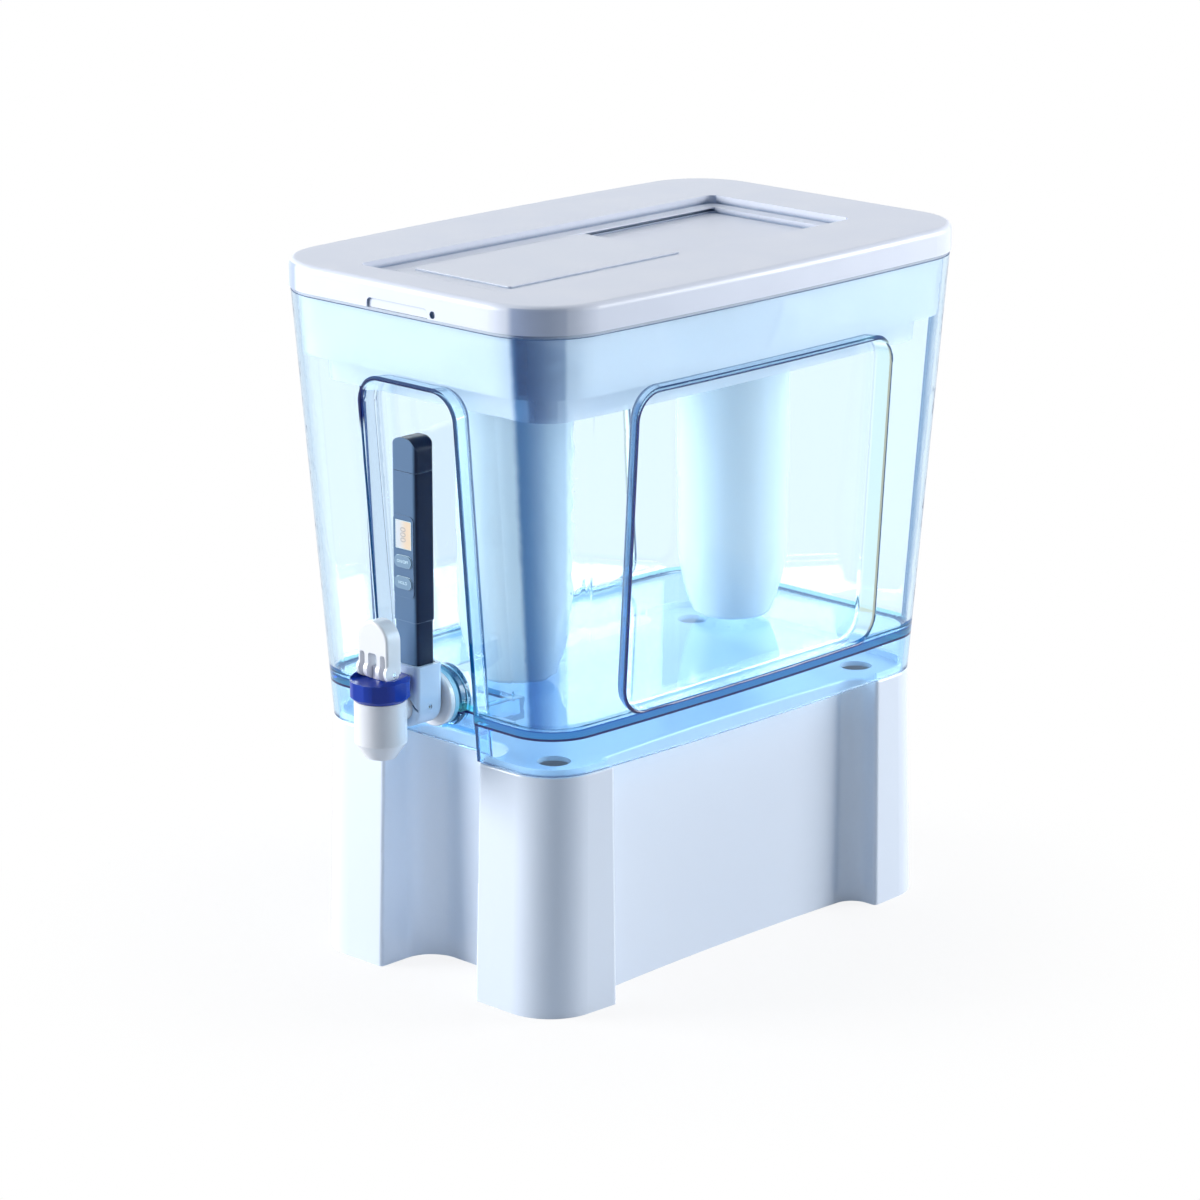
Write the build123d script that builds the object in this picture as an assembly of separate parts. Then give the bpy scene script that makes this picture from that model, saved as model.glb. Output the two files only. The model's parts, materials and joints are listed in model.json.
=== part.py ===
from build123d import *

import os
from math import asin, atan2, cos, degrees, hypot, pi, radians, sin, sqrt

# Countertop water dispenser that filters by gravity: a clear tapered tank on a white stand,
# an upper tray with two filter cartridges, a lid with a sliding fill door, a tap with a tilting
# lever, and a water meter parked in a dock on the tap's shank.
# Millimetres, +Z up. The tap faces -Y. Pieces are drawn about the tank's own upright centre line
# and moved at export, so that the origin lies under the middle of the whole dispenser.

# ---------------------------------------------------------------- driving dimensions

SEAT_GAP = 0.3            # where one removable piece rests on another
RUNNING_GAP = 0.05        # round a shaft that turns or slides in its hole
OVERCUT = 8.0             # how far a cutting tool stands out of the surface it enters
TOUCH = 0.01              # two places count as the same within this

# body plan, seen from above
SIDE_BOW = 3.6            # how far the long sides bulge at their middle
SEAM_WIDTH = 211.0        # across the dispenser where the tank meets the stand
SEAM_LENGTH = 334.8
SEAM_CORNER = 30.0

# stand
STAND_HEIGHT = 147.0
STAND_FLARE_X = 2.0       # each side grows outward by this towards the floor
STAND_FLARE_Y = 4.9
STAND_WALL = 3.0
STAND_EDGE = 1.5
LEG_EDGE = 2.5
FRONT_BAY_WIDTH = 80.0
FRONT_BAY_DEPTH = 37.0
FRONT_BAY_CORNER = 20.0
SIDE_BAY_LENGTH = 235.0
SIDE_BAY_DEPTH = 24.0
SIDE_BAY_CORNER = 13.0
SIDE_BAY_BOW = 3.5
DECK_HOLE_RADIUS = 10.0
DECK_HOLE_INSET_X = 36.0
DECK_HOLE_INSET_Y = 33.0
DECK_RIM_HEIGHT = 4.0
DECK_RIM_THICKNESS = 2.0
DECK_RIM_GAP = 1.0

# tank
TANK_HEIGHT = 262.7
RIM_WIDTH = 243.0
RIM_LENGTH = 379.0
RIM_CORNER = 44.0
TANK_WALL = 3.0
FLOOR_HEIGHT = 23.0       # from the skirt's lower edge to the underside of the floor
FLOOR_THICKNESS = 3.5
FLOOR_FILLET = 6.0
RECESS_WIDTH = 77.0
RECESS_DEPTH = 14.0
RECESS_TOP_DROP = 42.0    # from the rim down to the top of the arched recess
RECESS_CORNER = 16.0
RECESS_DRAFT = 2.0
RECESS_CORE_FILLET = 3.0
WINDOW_LENGTH = 224.0
WINDOW_TOP_DROP = 41.5
WINDOW_SILL = 2.7         # from the floor's top to the lower edge of the window panel
WINDOW_DEPTH = 12.0
WINDOW_CORNER = 16.0
WINDOW_SLOPE = 5.5
WINDOW_CORE_FILLET = 2.0
RECESS_LIP = 1.2          # rounding where a recess or window meets the wall
SUMP_WIDTH = 44.0
SUMP_LENGTH = 34.0
SUMP_DEPTH = 14.0

# tray that hangs in the tank
TRAY_DROP = 53.0          # from the tank's rim to the underside of the tray
TRAY_WALL = 2.2
TRAY_SIDE_GAP = 1.2
TRAY_LIP = 1.7
TRAY_LIP_INSET = 0.4
SHOULDER_HEIGHT = 17.0
SHOULDER_INSET = 19.0     # from the tank's outer wall to the tray's lower part
RIB_THICKNESS = 3.0
RIB_DEPTH = 8.0
RIB_LEAN = 22.0

# filter cartridges
FILTER_SPACING = 190.0
FILTER_RADIUS = 35.0
FILTER_WALL = 1.8
FILTER_LOWER_STEP = 0.8
FILTER_FLANGE_RADIUS = 41.0
FILTER_FLANGE_THICKNESS = 3.0
FILTER_CROWN_RADIUS = 32.0
FILTER_CROWN_HEIGHT = 8.0
FILTER_CROWN_WALL = 2.5
FILTER_FLOOR_GAP = 4.0
FILTER_LOWER_LENGTH = 89.0
FILTER_TAPER_HEIGHT = 56.0  # the curved taper above the cartridge's flat lower end
FILTER_TAPER_BULGE = 3.2  # how far the taper's middle swells out of the straight line
FILTER_NOSE_RADIUS = 24.6
FILTER_NOSE_EDGE = 2.0
FILTER_HOLE_GAP = 1.3
GASKET_THICKNESS = 1.6
GASKET_WIDTH = 3.6
LUG_COUNT = 3
LUG_REACH = 3.0
LUG_HEIGHT = 3.0
LUG_ANGLE = 22.0
LUG_LOCK_ANGLE = 60.0
LUG_NOTCH_MARGIN = 2.0    # degrees at each end of a notch
INLET_COUNT = 8
INLET_LENGTH = 10.0
INLET_WIDTH = 3.0
GRIP_LENGTH = 44.0
GRIP_HEIGHT = 8.0
GRIP_THICKNESS = 4.0
OUTLET_COUNT = 6
OUTLET_RADIUS = 2.5

# lid
LID_HEIGHT = 16.7
LID_OVERHANG = 0.8
LID_WALL = 2.4
LID_EDGE = 4.0
LID_PLUG_DEPTH = 4.0
LID_PLUG_THICKNESS = 2.0
LID_PLUG_GAP = 1.0
CHANNEL_WIDTH = 116.0
CHANNEL_DEPTH = 5.0
CHANNEL_FRONT = 166.0     # from the centre line forward
CHANNEL_BACK = 139.0      # and backward
CHANNEL_CORNER = 6.0
TRACK_WIDTH = 94.0
TRACK_DEPTH = 3.5
TRACK_FRONT = 148.0
TRACK_BACK = 128.0
TRACK_CORNER = 3.0
FILL_HOLE_WIDTH = 78.0
FILL_HOLE_FRONT = 138.0
FILL_HOLE_BACK = 10.0
FILL_HOLE_CORNER = 8.0
NOTCH_WIDTH = 50.0
NOTCH_HEIGHT = 5.7
NOTCH_DEPTH = 1.4
LATCH_HOLE_RADIUS = 2.2   # beside the notch
LATCH_HOLE_DEPTH = 1.9
LATCH_HOLE_X = 29.0

# fill door
DOOR_LENGTH = 152.0
DOOR_GAP = 0.4
TONGUE_REACH = 2.8
TONGUE_THICKNESS = 1.0
TONGUE_DROP = 1.2         # from the door's top to the tongue's top
PAD_WIDTH = 79.0          # raised pad, whose front edge is what a finger pushes
PAD_HEIGHT = 1.4
PAD_SETBACK = 9.0
PAD_CORNER = 2.0
PAD_EDGE = 0.5

# tap
SHANK_HEIGHT = 30.2       # axis above the skirt's lower edge
SHANK_RADIUS = 8.0
SHANK_BORE = 5.5
SHANK_HOLE_GAP = 0.3
BOSS_RADIUS = 19.0
BOSS_PROUD = 4.0          # how far the outer boss stands out of the recess wall
BOSS_SEAT = 2.0           # and the inner one
TAP_REACH = 47.5          # from the boss face to the spout's axis
FLANGE_RADIUS = 17.0
FLANGE_THICKNESS = 4.0
SEAL_THICKNESS = 3.0
WASHER_THICKNESS = 2.0
NUT_ACROSS = 26.0
NUT_THICKNESS = 7.0
SHANK_END = 3.0
TAP_RADIUS = 15.5
NOZZLE_RADIUS = 9.0
OUTLET_BORE = 5.0
NOZZLE_DROP = 26.5        # from the shank's axis down to the nozzle's end
CONE_HEIGHT = 9.5
CHAMBER_RADIUS = 10.5
CHAMBER_FLOOR = 12.0      # above the nozzle's end
BODY_SHOULDER = 8.5       # above the shank's axis
NECK_RADIUS = 13.0
NECK_HEIGHT = 8.0
BONNET_RADIUS = 17.4
BONNET_HEIGHT = 12.0
BONNET_TOP = 3.7
BONNET_EDGE = 1.4
BONNET_FLATS = 8
BONNET_TURN = 22.5        # degrees, so that a flat faces each way along X and Y
BONNET_CORNER_TRIM = 0.9  # how far the corners between the flats are turned off
SADDLE_RISE = 2.4         # cheeks that stand beside the lever
SADDLE_GAP = 0.7
NECK_GAP = 0.3

# valve and lever
STEM_RADIUS = 2.3
EYE_WIDTH = 5.6
EYE_DEPTH = 6.0
EYE_RISE = 3.6            # from the pin's axis to the eye's top
STEM_FLANGE_RADIUS = 6.5
STEM_FLANGE_THICKNESS = 2.0
SEAT_RADIUS = 8.0
SEAT_THICKNESS = 6.0
SPRING_RADIUS = 5.2
SPRING_WIRE = 0.6
SPRING_TURNS = 5
CAM_RADIUS = 5.6
CAM_OFFSET = 2.2
LEVER_TILT = 75.0
LEVER_WIDTH = 24.8
LEVER_THICKNESS = 11.7
LEVER_FRONT = 6.0         # from the pin's axis to the paddle's front
LEVER_LENGTH = 31.3       # from the pin's axis to the paddle's tip
LEVER_EDGE = 1.5
FORK_GAP = 0.7
FORK_HEIGHT = 12.0
GROOVE_WIDTH = 4.0
GROOVE_DEPTH = 4.0
GROOVE_OFFSET = 8.5
GROOVE_TOP = 1.6          # rounding at the top of the grooves and of the fork's slot
PIN_RADIUS = 1.5

# water meter and its dock
METER_WIDTH = 20.0
METER_THICKNESS = 15.5
METER_CORNER = 2.6
METER_LENGTH = 145.7
METER_BACK = 11.7         # from the boss face forward to the meter's back
CAP_LENGTH = 19.7
CAP_ROUNDING = 8.0
METER_WALL = 1.3
PROBE_CAP_LENGTH = 36.0
PROBE_CAP_STEP = 0.6
PROBE_PLUG_LENGTH = 12.0
ELECTRODE_RADIUS = 0.9
ELECTRODE_LENGTH = 8.0
ELECTRODE_SPACING = 6.0
BEZEL_WIDTH = 16.6
BEZEL_TOP_DROP = 26.0     # from the case's top
BEZEL_BOTTOM_DROP = 75.0
BEZEL_PROUD = 0.4
BEZEL_CORNER = 3.0
DISPLAY_WIDTH = 13.0
DISPLAY_HEIGHT = 17.0
DISPLAY_DROP = 29.0       # from the case's top to the display's top
DISPLAY_THICKNESS = 1.2
BUTTON_WIDTH = 14.0
BUTTON_HEIGHT = 7.0
BUTTON_THICKNESS = 2.6
BUTTON_PROUD = 0.8
BUTTON_GAP = 0.3
BUTTON_TRAVEL = 0.6
POWER_BUTTON_DROP = 53.5
HOLD_BUTTON_DROP = 66.3
CELL_RADIUS = 5.7
CELL_THICKNESS = 5.2
CELL_COUNT = 2
PLUG_HEIGHT = 5.7
DOCK_WALL = 2.3
DOCK_TOP = 25.5           # above the shank's axis
SOCKET_DEPTH = 10.7
SOCKET_GAP = 0.3
DOCK_EDGE = 3.0
SLIT_WIDTH = 1.2
SLIT_DEPTH = 1.5
SLIT_LENGTH = 13.0
SCREW_RADIUS = 1.6
SCREW_LENGTH = 4.0
SCREW_RECESS = 0.5

# ---------------------------------------------------------------- levels and places that follow

skirt_z = STAND_HEIGHT + SEAT_GAP
rim_z = skirt_z + TANK_HEIGHT
floor_under_z = skirt_z + FLOOR_HEIGHT
floor_z = floor_under_z + FLOOR_THICKNESS
slope_x = (RIM_WIDTH - SEAM_WIDTH) / 2 / TANK_HEIGHT
slope_y = (RIM_LENGTH - SEAM_LENGTH) / 2 / TANK_HEIGHT
recess_top_z = rim_z - RECESS_TOP_DROP

tray_under_z = rim_z - TRAY_DROP
tray_floor_z = tray_under_z + TRAY_WALL
shoulder_z = tray_under_z + SHOULDER_HEIGHT
lip_z = rim_z + SEAT_GAP
tray_top_z = lip_z + TRAY_LIP

lid_z = tray_top_z + SEAT_GAP
lid_top_z = lid_z + LID_HEIGHT
channel_z = lid_top_z - CHANNEL_DEPTH
track_z = channel_z - TRACK_DEPTH
tub_under_z = track_z - LID_WALL

shank_z = skirt_z + SHANK_HEIGHT
recess_back_y = -(SEAM_LENGTH / 2 + slope_y * SHANK_HEIGHT) + RECESS_DEPTH
boss_face_y = recess_back_y - BOSS_PROUD
seat_face_y = recess_back_y + TANK_WALL + BOSS_SEAT
tap_y = boss_face_y - TAP_REACH
nozzle_z = shank_z - NOZZLE_DROP
neck_z = shank_z + BODY_SHOULDER
neck_top_z = neck_z + NECK_HEIGHT
bonnet_z = neck_z + NECK_GAP
bonnet_top_z = bonnet_z + BONNET_HEIGHT
chamber_z = nozzle_z + CHAMBER_FLOOR
nut_y = seat_face_y + WASHER_THICKNESS + SEAT_GAP
shank_end_y = nut_y + NUT_THICKNESS + SHANK_END

# The lever's round foot is off centre by CAM_OFFSET, half of the tilt ahead of level, so tilting
# it lifts the pin nearly in proportion to the angle.
cam_lead = radians(LEVER_TILT) / 2
cam_rest = CAM_RADIUS - CAM_OFFSET * sin(cam_lead)
stem_lift = 2 * CAM_OFFSET * sin(cam_lead)
pin_z = bonnet_top_z + SEAT_GAP + cam_rest

meter_back_y = boss_face_y - METER_BACK
meter_front_y = meter_back_y - METER_THICKNESS
meter_mid_y = meter_back_y - METER_THICKNESS / 2
bezel_y = meter_front_y - BEZEL_PROUD
dock_top_z = shank_z + DOCK_TOP
socket_z = dock_top_z - SOCKET_DEPTH
meter_z = socket_z + SEAT_GAP
probe_cap_top_z = meter_z + PROBE_CAP_LENGTH
case_z = probe_cap_top_z + SEAT_GAP
meter_top_z = meter_z + METER_LENGTH
battery_cap_z = meter_top_z - CAP_LENGTH
case_top_z = battery_cap_z - SEAT_GAP

filter_y = {"front": -FILTER_SPACING / 2, "rear": FILTER_SPACING / 2}
gasket_z = tray_floor_z + SEAT_GAP
flange_z = gasket_z + GASKET_THICKNESS
nose_z = floor_z + FILTER_FLOOR_GAP
filter_seam_z = nose_z + FILTER_LOWER_LENGTH
filter_hole_radius = FILTER_RADIUS + FILTER_HOLE_GAP

# The origin is under the middle of the box round the dispenser at rest.
front_reach = -tap_y + BONNET_RADIUS
back_reach = RIM_LENGTH / 2 + LID_OVERHANG
centring = (front_reach - back_reach) / 2


# ---------------------------------------------------------------- shared shapes

def body_plan(width, length, corner, inset=0.0):
    """Plan of the body: straight ends, gently bowed long sides, round tangent corners."""
    span = length / 2 - corner
    side_radius = (span**2 + SIDE_BOW**2) / (2 * SIDE_BOW) - inset
    half_width = width / 2 - inset
    half_length = length / 2 - inset
    radius = corner - inset
    side_centre = half_width - side_radius
    corner_y = half_length - radius
    corner_x = side_centre + sqrt((side_radius - radius) ** 2 - corner_y**2)
    lean = asin(corner_y / (side_radius - radius))
    turn = (lean + pi / 2) / 2
    side_end = (corner_x + radius * cos(lean), corner_y + radius * sin(lean))
    corner_mid = (corner_x + radius * cos(turn), corner_y + radius * sin(turn))
    end_start = (corner_x, half_length)

    def flip(point, sign_x, sign_y):
        return (sign_x * point[0], sign_y * point[1])

    edges = []
    for sign_x in (1, -1):
        side_middle = (sign_x * half_width, 0)
        edges.append(ThreePointArc(flip(side_end, sign_x, -1), side_middle, flip(side_end, sign_x, 1)))
        for sign_y in (1, -1):
            edges.append(
                ThreePointArc(
                    flip(side_end, sign_x, sign_y),
                    flip(corner_mid, sign_x, sign_y),
                    flip(end_start, sign_x, sign_y),
                )
            )
    for sign_y in (1, -1):
        edges.append(Line(flip(end_start, 1, sign_y), flip(end_start, -1, sign_y)))
    return make_face(edges)


def tank_block(low_z, high_z, inset=0.0):
    """Stretch of the tank's tapered form between two levels, set in by a wall."""
    plans = []
    for level in (low_z, high_z):
        rise = (level - skirt_z) / TANK_HEIGHT
        width = SEAM_WIDTH + (RIM_WIDTH - SEAM_WIDTH) * rise
        length = SEAM_LENGTH + (RIM_LENGTH - SEAM_LENGTH) * rise
        corner = SEAM_CORNER + (RIM_CORNER - SEAM_CORNER) * rise
        plans.append(Pos(0, 0, level) * body_plan(width, length, corner, inset))
    return loft(plans, ruled=True)


def stand_block(low_z, high_z, inset=0.0):
    """Stretch of the stand's form, which flares a little towards the floor."""
    plans = []
    for level in (low_z, high_z):
        fall = 1 - level / STAND_HEIGHT
        width = SEAM_WIDTH + 2 * STAND_FLARE_X * fall
        length = SEAM_LENGTH + 2 * STAND_FLARE_Y * fall
        plans.append(Pos(0, 0, level) * body_plan(width, length, SEAM_CORNER + STAND_FLARE_X * fall, inset))
    return loft(plans, ruled=True)


def upright_box(x_range, y_range, z_range):
    """Box between two limits along each axis."""
    spans = [high - low for low, high in (x_range, y_range, z_range)]
    middles = [(high + low) / 2 for low, high in (x_range, y_range, z_range)]
    return Pos(*middles) * Box(*spans)


def upright_cylinder(radius, low_z, high_z, x=0.0, y=0.0):
    """Cylinder that stands between two levels."""
    return Pos(x, y, (low_z + high_z) / 2) * Cylinder(radius, high_z - low_z)


def level_cylinder(radius, low_y, high_y, x=0.0, z=0.0):
    """Cylinder that lies along Y between two places."""
    return Pos(x, (low_y + high_y) / 2, z) * Rot(90, 0, 0) * Cylinder(radius, high_y - low_y)


def rounded_column(width, depth, corner, low_z, high_z, y=0.0):
    """Upright bar of rounded rectangular section."""
    section = Pos(0, y, low_z) * RectangleRounded(width, depth, corner)
    return extrude(section, high_z - low_z)


def turned(points, x=0.0, y=0.0):
    """Solid of revolution about an upright axis, from radius and height pairs."""
    profile = make_face(Polyline([(radius, 0, level) for radius, level in points], close=True))
    return Pos(x, y, 0) * revolve(profile, Axis.Z)


def both_sides(tool):
    """A tool and its mirror image across the dispenser."""
    return tool + mirror(tool, Plane.YZ)


# ---------------------------------------------------------------- stand

def front_bay(grow=0.0):
    """Column of space between the two front legs."""
    front = SEAM_LENGTH / 2 + STAND_FLARE_Y + OVERCUT
    back = SEAM_LENGTH / 2 - FRONT_BAY_DEPTH
    half = FRONT_BAY_WIDTH / 2 + grow
    column = upright_box((-half, half), (-front, -back + grow), (-OVERCUT, STAND_HEIGHT + OVERCUT))
    inner = column.edges().filter_by(Axis.Z).sort_by(Axis.Y)[-2:]
    return fillet(inner, FRONT_BAY_CORNER + grow)


def side_bay(grow=0.0):
    """Broad shallow hollow along a long side, bowed inwards, on the +X side."""
    half = SIDE_BAY_LENGTH / 2 + grow
    outer_x = SEAM_WIDTH / 2 + STAND_FLARE_X + SIDE_BOW + OVERCUT
    end_x = SEAM_WIDTH / 2 - SIDE_BAY_DEPTH + SIDE_BAY_BOW - grow
    plan = make_face(
        [
            Line((outer_x, -half), (end_x, -half)),
            ThreePointArc((end_x, -half), (end_x - SIDE_BAY_BOW, 0), (end_x, half)),
            Line((end_x, half), (outer_x, half)),
            Line((outer_x, half), (outer_x, -half)),
        ]
    )
    column = extrude(Pos(0, 0, -OVERCUT) * plan, STAND_HEIGHT + 2 * OVERCUT)
    inner = column.edges().filter_by(Axis.Z).sort_by(Axis.X)[:2]
    return fillet(inner, SIDE_BAY_CORNER + grow)


def leg_edges(solid):
    """The upright edges where the bays open through the stand's outer walls."""

    def across(edge):
        return abs(edge.center().X)

    at_front = solid.edges().filter_by(lambda edge: abs(across(edge) - FRONT_BAY_WIDTH / 2) < TOUCH)
    at_sides = solid.edges().filter_by(lambda edge: abs(abs(edge.center().Y) - SIDE_BAY_LENGTH / 2) < TOUCH)
    front_pair = sorted(at_front, key=lambda edge: edge.center().Y)[:2]
    side_four = sorted(at_sides, key=across)[-4:]
    return front_pair + side_four


def make_stand():
    """Hollow moulding, open below, with four legs left between its bays."""
    outside = stand_block(0, STAND_HEIGHT) - front_bay() - both_sides(side_bay())
    outside = fillet(leg_edges(outside), LEG_EDGE)
    outside = fillet(outside.edges().group_by(Axis.Z)[-1], STAND_EDGE)
    hollow = stand_block(-OVERCUT, STAND_HEIGHT - STAND_WALL, STAND_WALL)
    hollow = hollow - front_bay(STAND_WALL) - both_sides(side_bay(STAND_WALL))
    stand = outside - hollow
    rim_inset = TANK_WALL + DECK_RIM_GAP
    rim = stand_block(STAND_HEIGHT - STAND_WALL, STAND_HEIGHT + DECK_RIM_HEIGHT, rim_inset)
    core_inset = rim_inset + DECK_RIM_THICKNESS
    rim = rim - stand_block(STAND_HEIGHT - 2 * STAND_WALL, STAND_HEIGHT + OVERCUT, core_inset)
    stand = stand + (rim - front_bay(TANK_WALL) - both_sides(side_bay(TANK_WALL)))
    hole_x = SEAM_WIDTH / 2 - DECK_HOLE_INSET_X
    hole_y = SEAM_LENGTH / 2 - DECK_HOLE_INSET_Y
    for x in (-hole_x, hole_x):
        for y in (-hole_y, hole_y):
            hole = upright_cylinder(DECK_HOLE_RADIUS, STAND_HEIGHT - OVERCUT, STAND_HEIGHT + OVERCUT, x, y)
            stand = stand - hole
    return stand


# ---------------------------------------------------------------- tank

def front_wall():
    """Plane of the leaning front wall: local X across, local Y up the wall, local Z outward."""
    return Plane(origin=(0, -SEAM_LENGTH / 2, skirt_z), x_dir=(1, 0, 0), z_dir=(0, -1, -slope_y))


def side_wall():
    """Plane that touches the +X wall along its middle: local X towards the back, local Z outward."""
    return Plane(origin=(SEAM_WIDTH / 2, 0, skirt_z), x_dir=(0, 1, 0), z_dir=(1, 0, -slope_x))


def recess_tool(grow=0.0):
    """Arched recess that runs down the front wall and out through the skirt."""
    stretch = hypot(1, slope_y)
    top = (recess_top_z - skirt_z) * stretch
    sections = []
    for depth in (-OVERCUT, RECESS_DEPTH + grow):
        draft = RECESS_DRAFT * depth / RECESS_DEPTH
        width = RECESS_WIDTH - 2 * draft + 2 * grow
        high = top - draft + grow
        low = -RECESS_CORNER - 2 * OVERCUT
        arch = RectangleRounded(width, high - low, RECESS_CORNER + grow - draft)
        shape = Pos(0, (high + low) / 2, -depth) * arch
        sections.append(front_wall() * shape)
    tool = loft(sections, ruled=True)
    back = tool.faces().sort_by(Axis.Y)[-1]
    return fillet(back.edges(), RECESS_CORE_FILLET + grow)


def window_tool(grow=0.0):
    """Flat inset panel of the +X wall."""
    stretch = hypot(1, slope_x)
    low = (floor_z + WINDOW_SILL - skirt_z) * stretch - grow
    high = (TANK_HEIGHT - WINDOW_TOP_DROP) * stretch + grow
    sections = []
    for depth in (-OVERCUT, WINDOW_DEPTH + grow):
        draft = WINDOW_SLOPE * depth / WINDOW_DEPTH
        length = WINDOW_LENGTH - 2 * draft + 2 * grow
        panel = RectangleRounded(length, high - low, WINDOW_CORNER + grow)
        shape = Pos(0, (high + low) / 2, -depth) * panel
        sections.append(side_wall() * shape)
    tool = loft(sections, ruled=True)
    back = tool.faces().sort_by(Axis.X)[0]
    return fillet(back.edges(), WINDOW_CORE_FILLET + grow)


def recess_lip(solid):
    """Edges round the recess where it opens through the front wall."""

    def belongs(edge):
        place = edge.center()
        on_wall = abs(front_wall().to_local_coords(place).Z) < TOUCH
        beside = abs(place.X) < RECESS_WIDTH / 2 + TOUCH
        return on_wall and beside and skirt_z + TOUCH < place.Z < recess_top_z + TOUCH

    return solid.edges().filter_by(belongs)


def window_lips(solid):
    """Edges round the two windows where they open through the long walls."""

    def belongs(edge):
        for corner in edge.vertices():
            local = side_wall().to_local_coords(Vector(abs(corner.X), corner.Y, corner.Z))
            if local.Z < -WINDOW_DEPTH / 2 or abs(local.X) > WINDOW_LENGTH / 2 + TOUCH:
                return False
            if not floor_z < corner.Z < rim_z - WINDOW_TOP_DROP + WINDOW_SILL:
                return False
        return True

    return solid.edges().filter_by(belongs)


def make_tank():
    """Clear tapered shell with a raised floor, an outlet sump and a boss for the tap."""
    outside = tank_block(skirt_z, rim_z) - recess_tool() - both_sides(window_tool())
    outside = fillet(recess_lip(outside) + window_lips(outside), RECESS_LIP)
    hollow = tank_block(floor_z, rim_z + OVERCUT, TANK_WALL)
    hollow = fillet(hollow.edges().group_by(Axis.Z)[0], FLOOR_FILLET)
    below = tank_block(skirt_z - OVERCUT, floor_under_z, TANK_WALL)
    recess_core = recess_tool(TANK_WALL)
    tank = outside - (hollow - recess_core - both_sides(window_tool(TANK_WALL))) - (below - recess_core)
    sump_front = recess_back_y - OVERCUT
    sump_back = recess_back_y + TANK_WALL + SUMP_LENGTH
    sump_z = floor_z - SUMP_DEPTH
    sump = upright_box(
        (-SUMP_WIDTH / 2 - TANK_WALL, SUMP_WIDTH / 2 + TANK_WALL),
        (sump_front, sump_back + TANK_WALL),
        (sump_z - TANK_WALL, floor_z),
    )
    pocket_levels = (sump_z, floor_z + FLOOR_FILLET)
    pocket = upright_box((-SUMP_WIDTH / 2, SUMP_WIDTH / 2), (sump_front, sump_back), pocket_levels)
    tank = tank + (sump - recess_tool()) - (pocket - recess_core)
    tank = tank + level_cylinder(BOSS_RADIUS, boss_face_y, seat_face_y, z=shank_z)
    shank_hole = SHANK_RADIUS + SHANK_HOLE_GAP
    return tank - level_cylinder(shank_hole, boss_face_y - OVERCUT, seat_face_y + OVERCUT, z=shank_z)


# ---------------------------------------------------------------- tray and filter cartridges

def tray_form(inset):
    """Outer form of the tray: full width above, stepped in below its shoulder."""
    upper = tank_block(shoulder_z + inset, tray_top_z + inset, TANK_WALL + TRAY_SIDE_GAP + inset)
    lower = tank_block(tray_under_z + inset, shoulder_z + 2 * inset + TRAY_WALL, SHOULDER_INSET + inset)
    return upper + lower


def lug_ring(inner, outer, low_z, high_z, y, turn, margin=0.0):
    """Ring of equal bayonet lugs, or with an angular margin the notches they pass through."""
    ring = None
    for index in range(LUG_COUNT):
        start = turn + index * 360 / LUG_COUNT - LUG_ANGLE / 2 - margin
        rim = CenterArc((0, 0), outer, start, LUG_ANGLE + 2 * margin)
        sector = make_face([Line((0, 0), rim @ 0), rim, Line(rim @ 1, (0, 0))])
        lug = extrude(Pos(0, y, low_z) * sector, high_z - low_z)
        ring = lug if ring is None else ring + lug
    return ring - upright_cylinder(inner, low_z - OVERCUT, high_z + OVERCUT, y=y)


def make_tray():
    """Upper tray: hangs by its lip on the tank's rim and carries both cartridges."""
    lip = tank_block(lip_z, tray_top_z, TRAY_LIP_INSET)
    tray = tray_form(0) + lip - tray_form(TRAY_WALL)
    # a leaning rib stiffens each long wall
    for sign in (1, -1):
        wall_x = SEAM_WIDTH / 2 + slope_x * (shoulder_z - skirt_z) - TANK_WALL - TRAY_SIDE_GAP - TRAY_WALL
        rise = lip_z - LID_PLUG_DEPTH - tray_floor_z
        lean = atan2(RIB_LEAN, rise)
        web = upright_box(
            (-RIB_DEPTH, TRAY_WALL),
            (-RIB_THICKNESS / 2, RIB_THICKNESS / 2),
            (0, rise / cos(lean)),
        )
        web = Pos(wall_x, -RIB_LEAN / 2, tray_floor_z) * Rot(-degrees(lean), 0, 0) * web
        if sign < 0:
            web = mirror(web, Plane.YZ)
        tray = tray + (web & tray_form(TRAY_WALL / 2))
    for y in filter_y.values():
        low_z = tray_under_z - OVERCUT
        high_z = tray_floor_z + OVERCUT
        tray = tray - upright_cylinder(filter_hole_radius, low_z, high_z, y=y)
        reach = FILTER_RADIUS + LUG_REACH + FILTER_HOLE_GAP
        tray = tray - lug_ring(FILTER_RADIUS, reach, low_z, high_z, y, LUG_LOCK_ANGLE, LUG_NOTCH_MARGIN)
    return tray


def make_gasket(y):
    """Flat rubber ring between the cartridge's flange and the tray."""
    ring = upright_cylinder(FILTER_FLANGE_RADIUS, gasket_z, flange_z, y=y)
    inner = FILTER_FLANGE_RADIUS - GASKET_WIDTH
    return ring - upright_cylinder(inner, gasket_z - OVERCUT, flange_z + OVERCUT, y=y)


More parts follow.
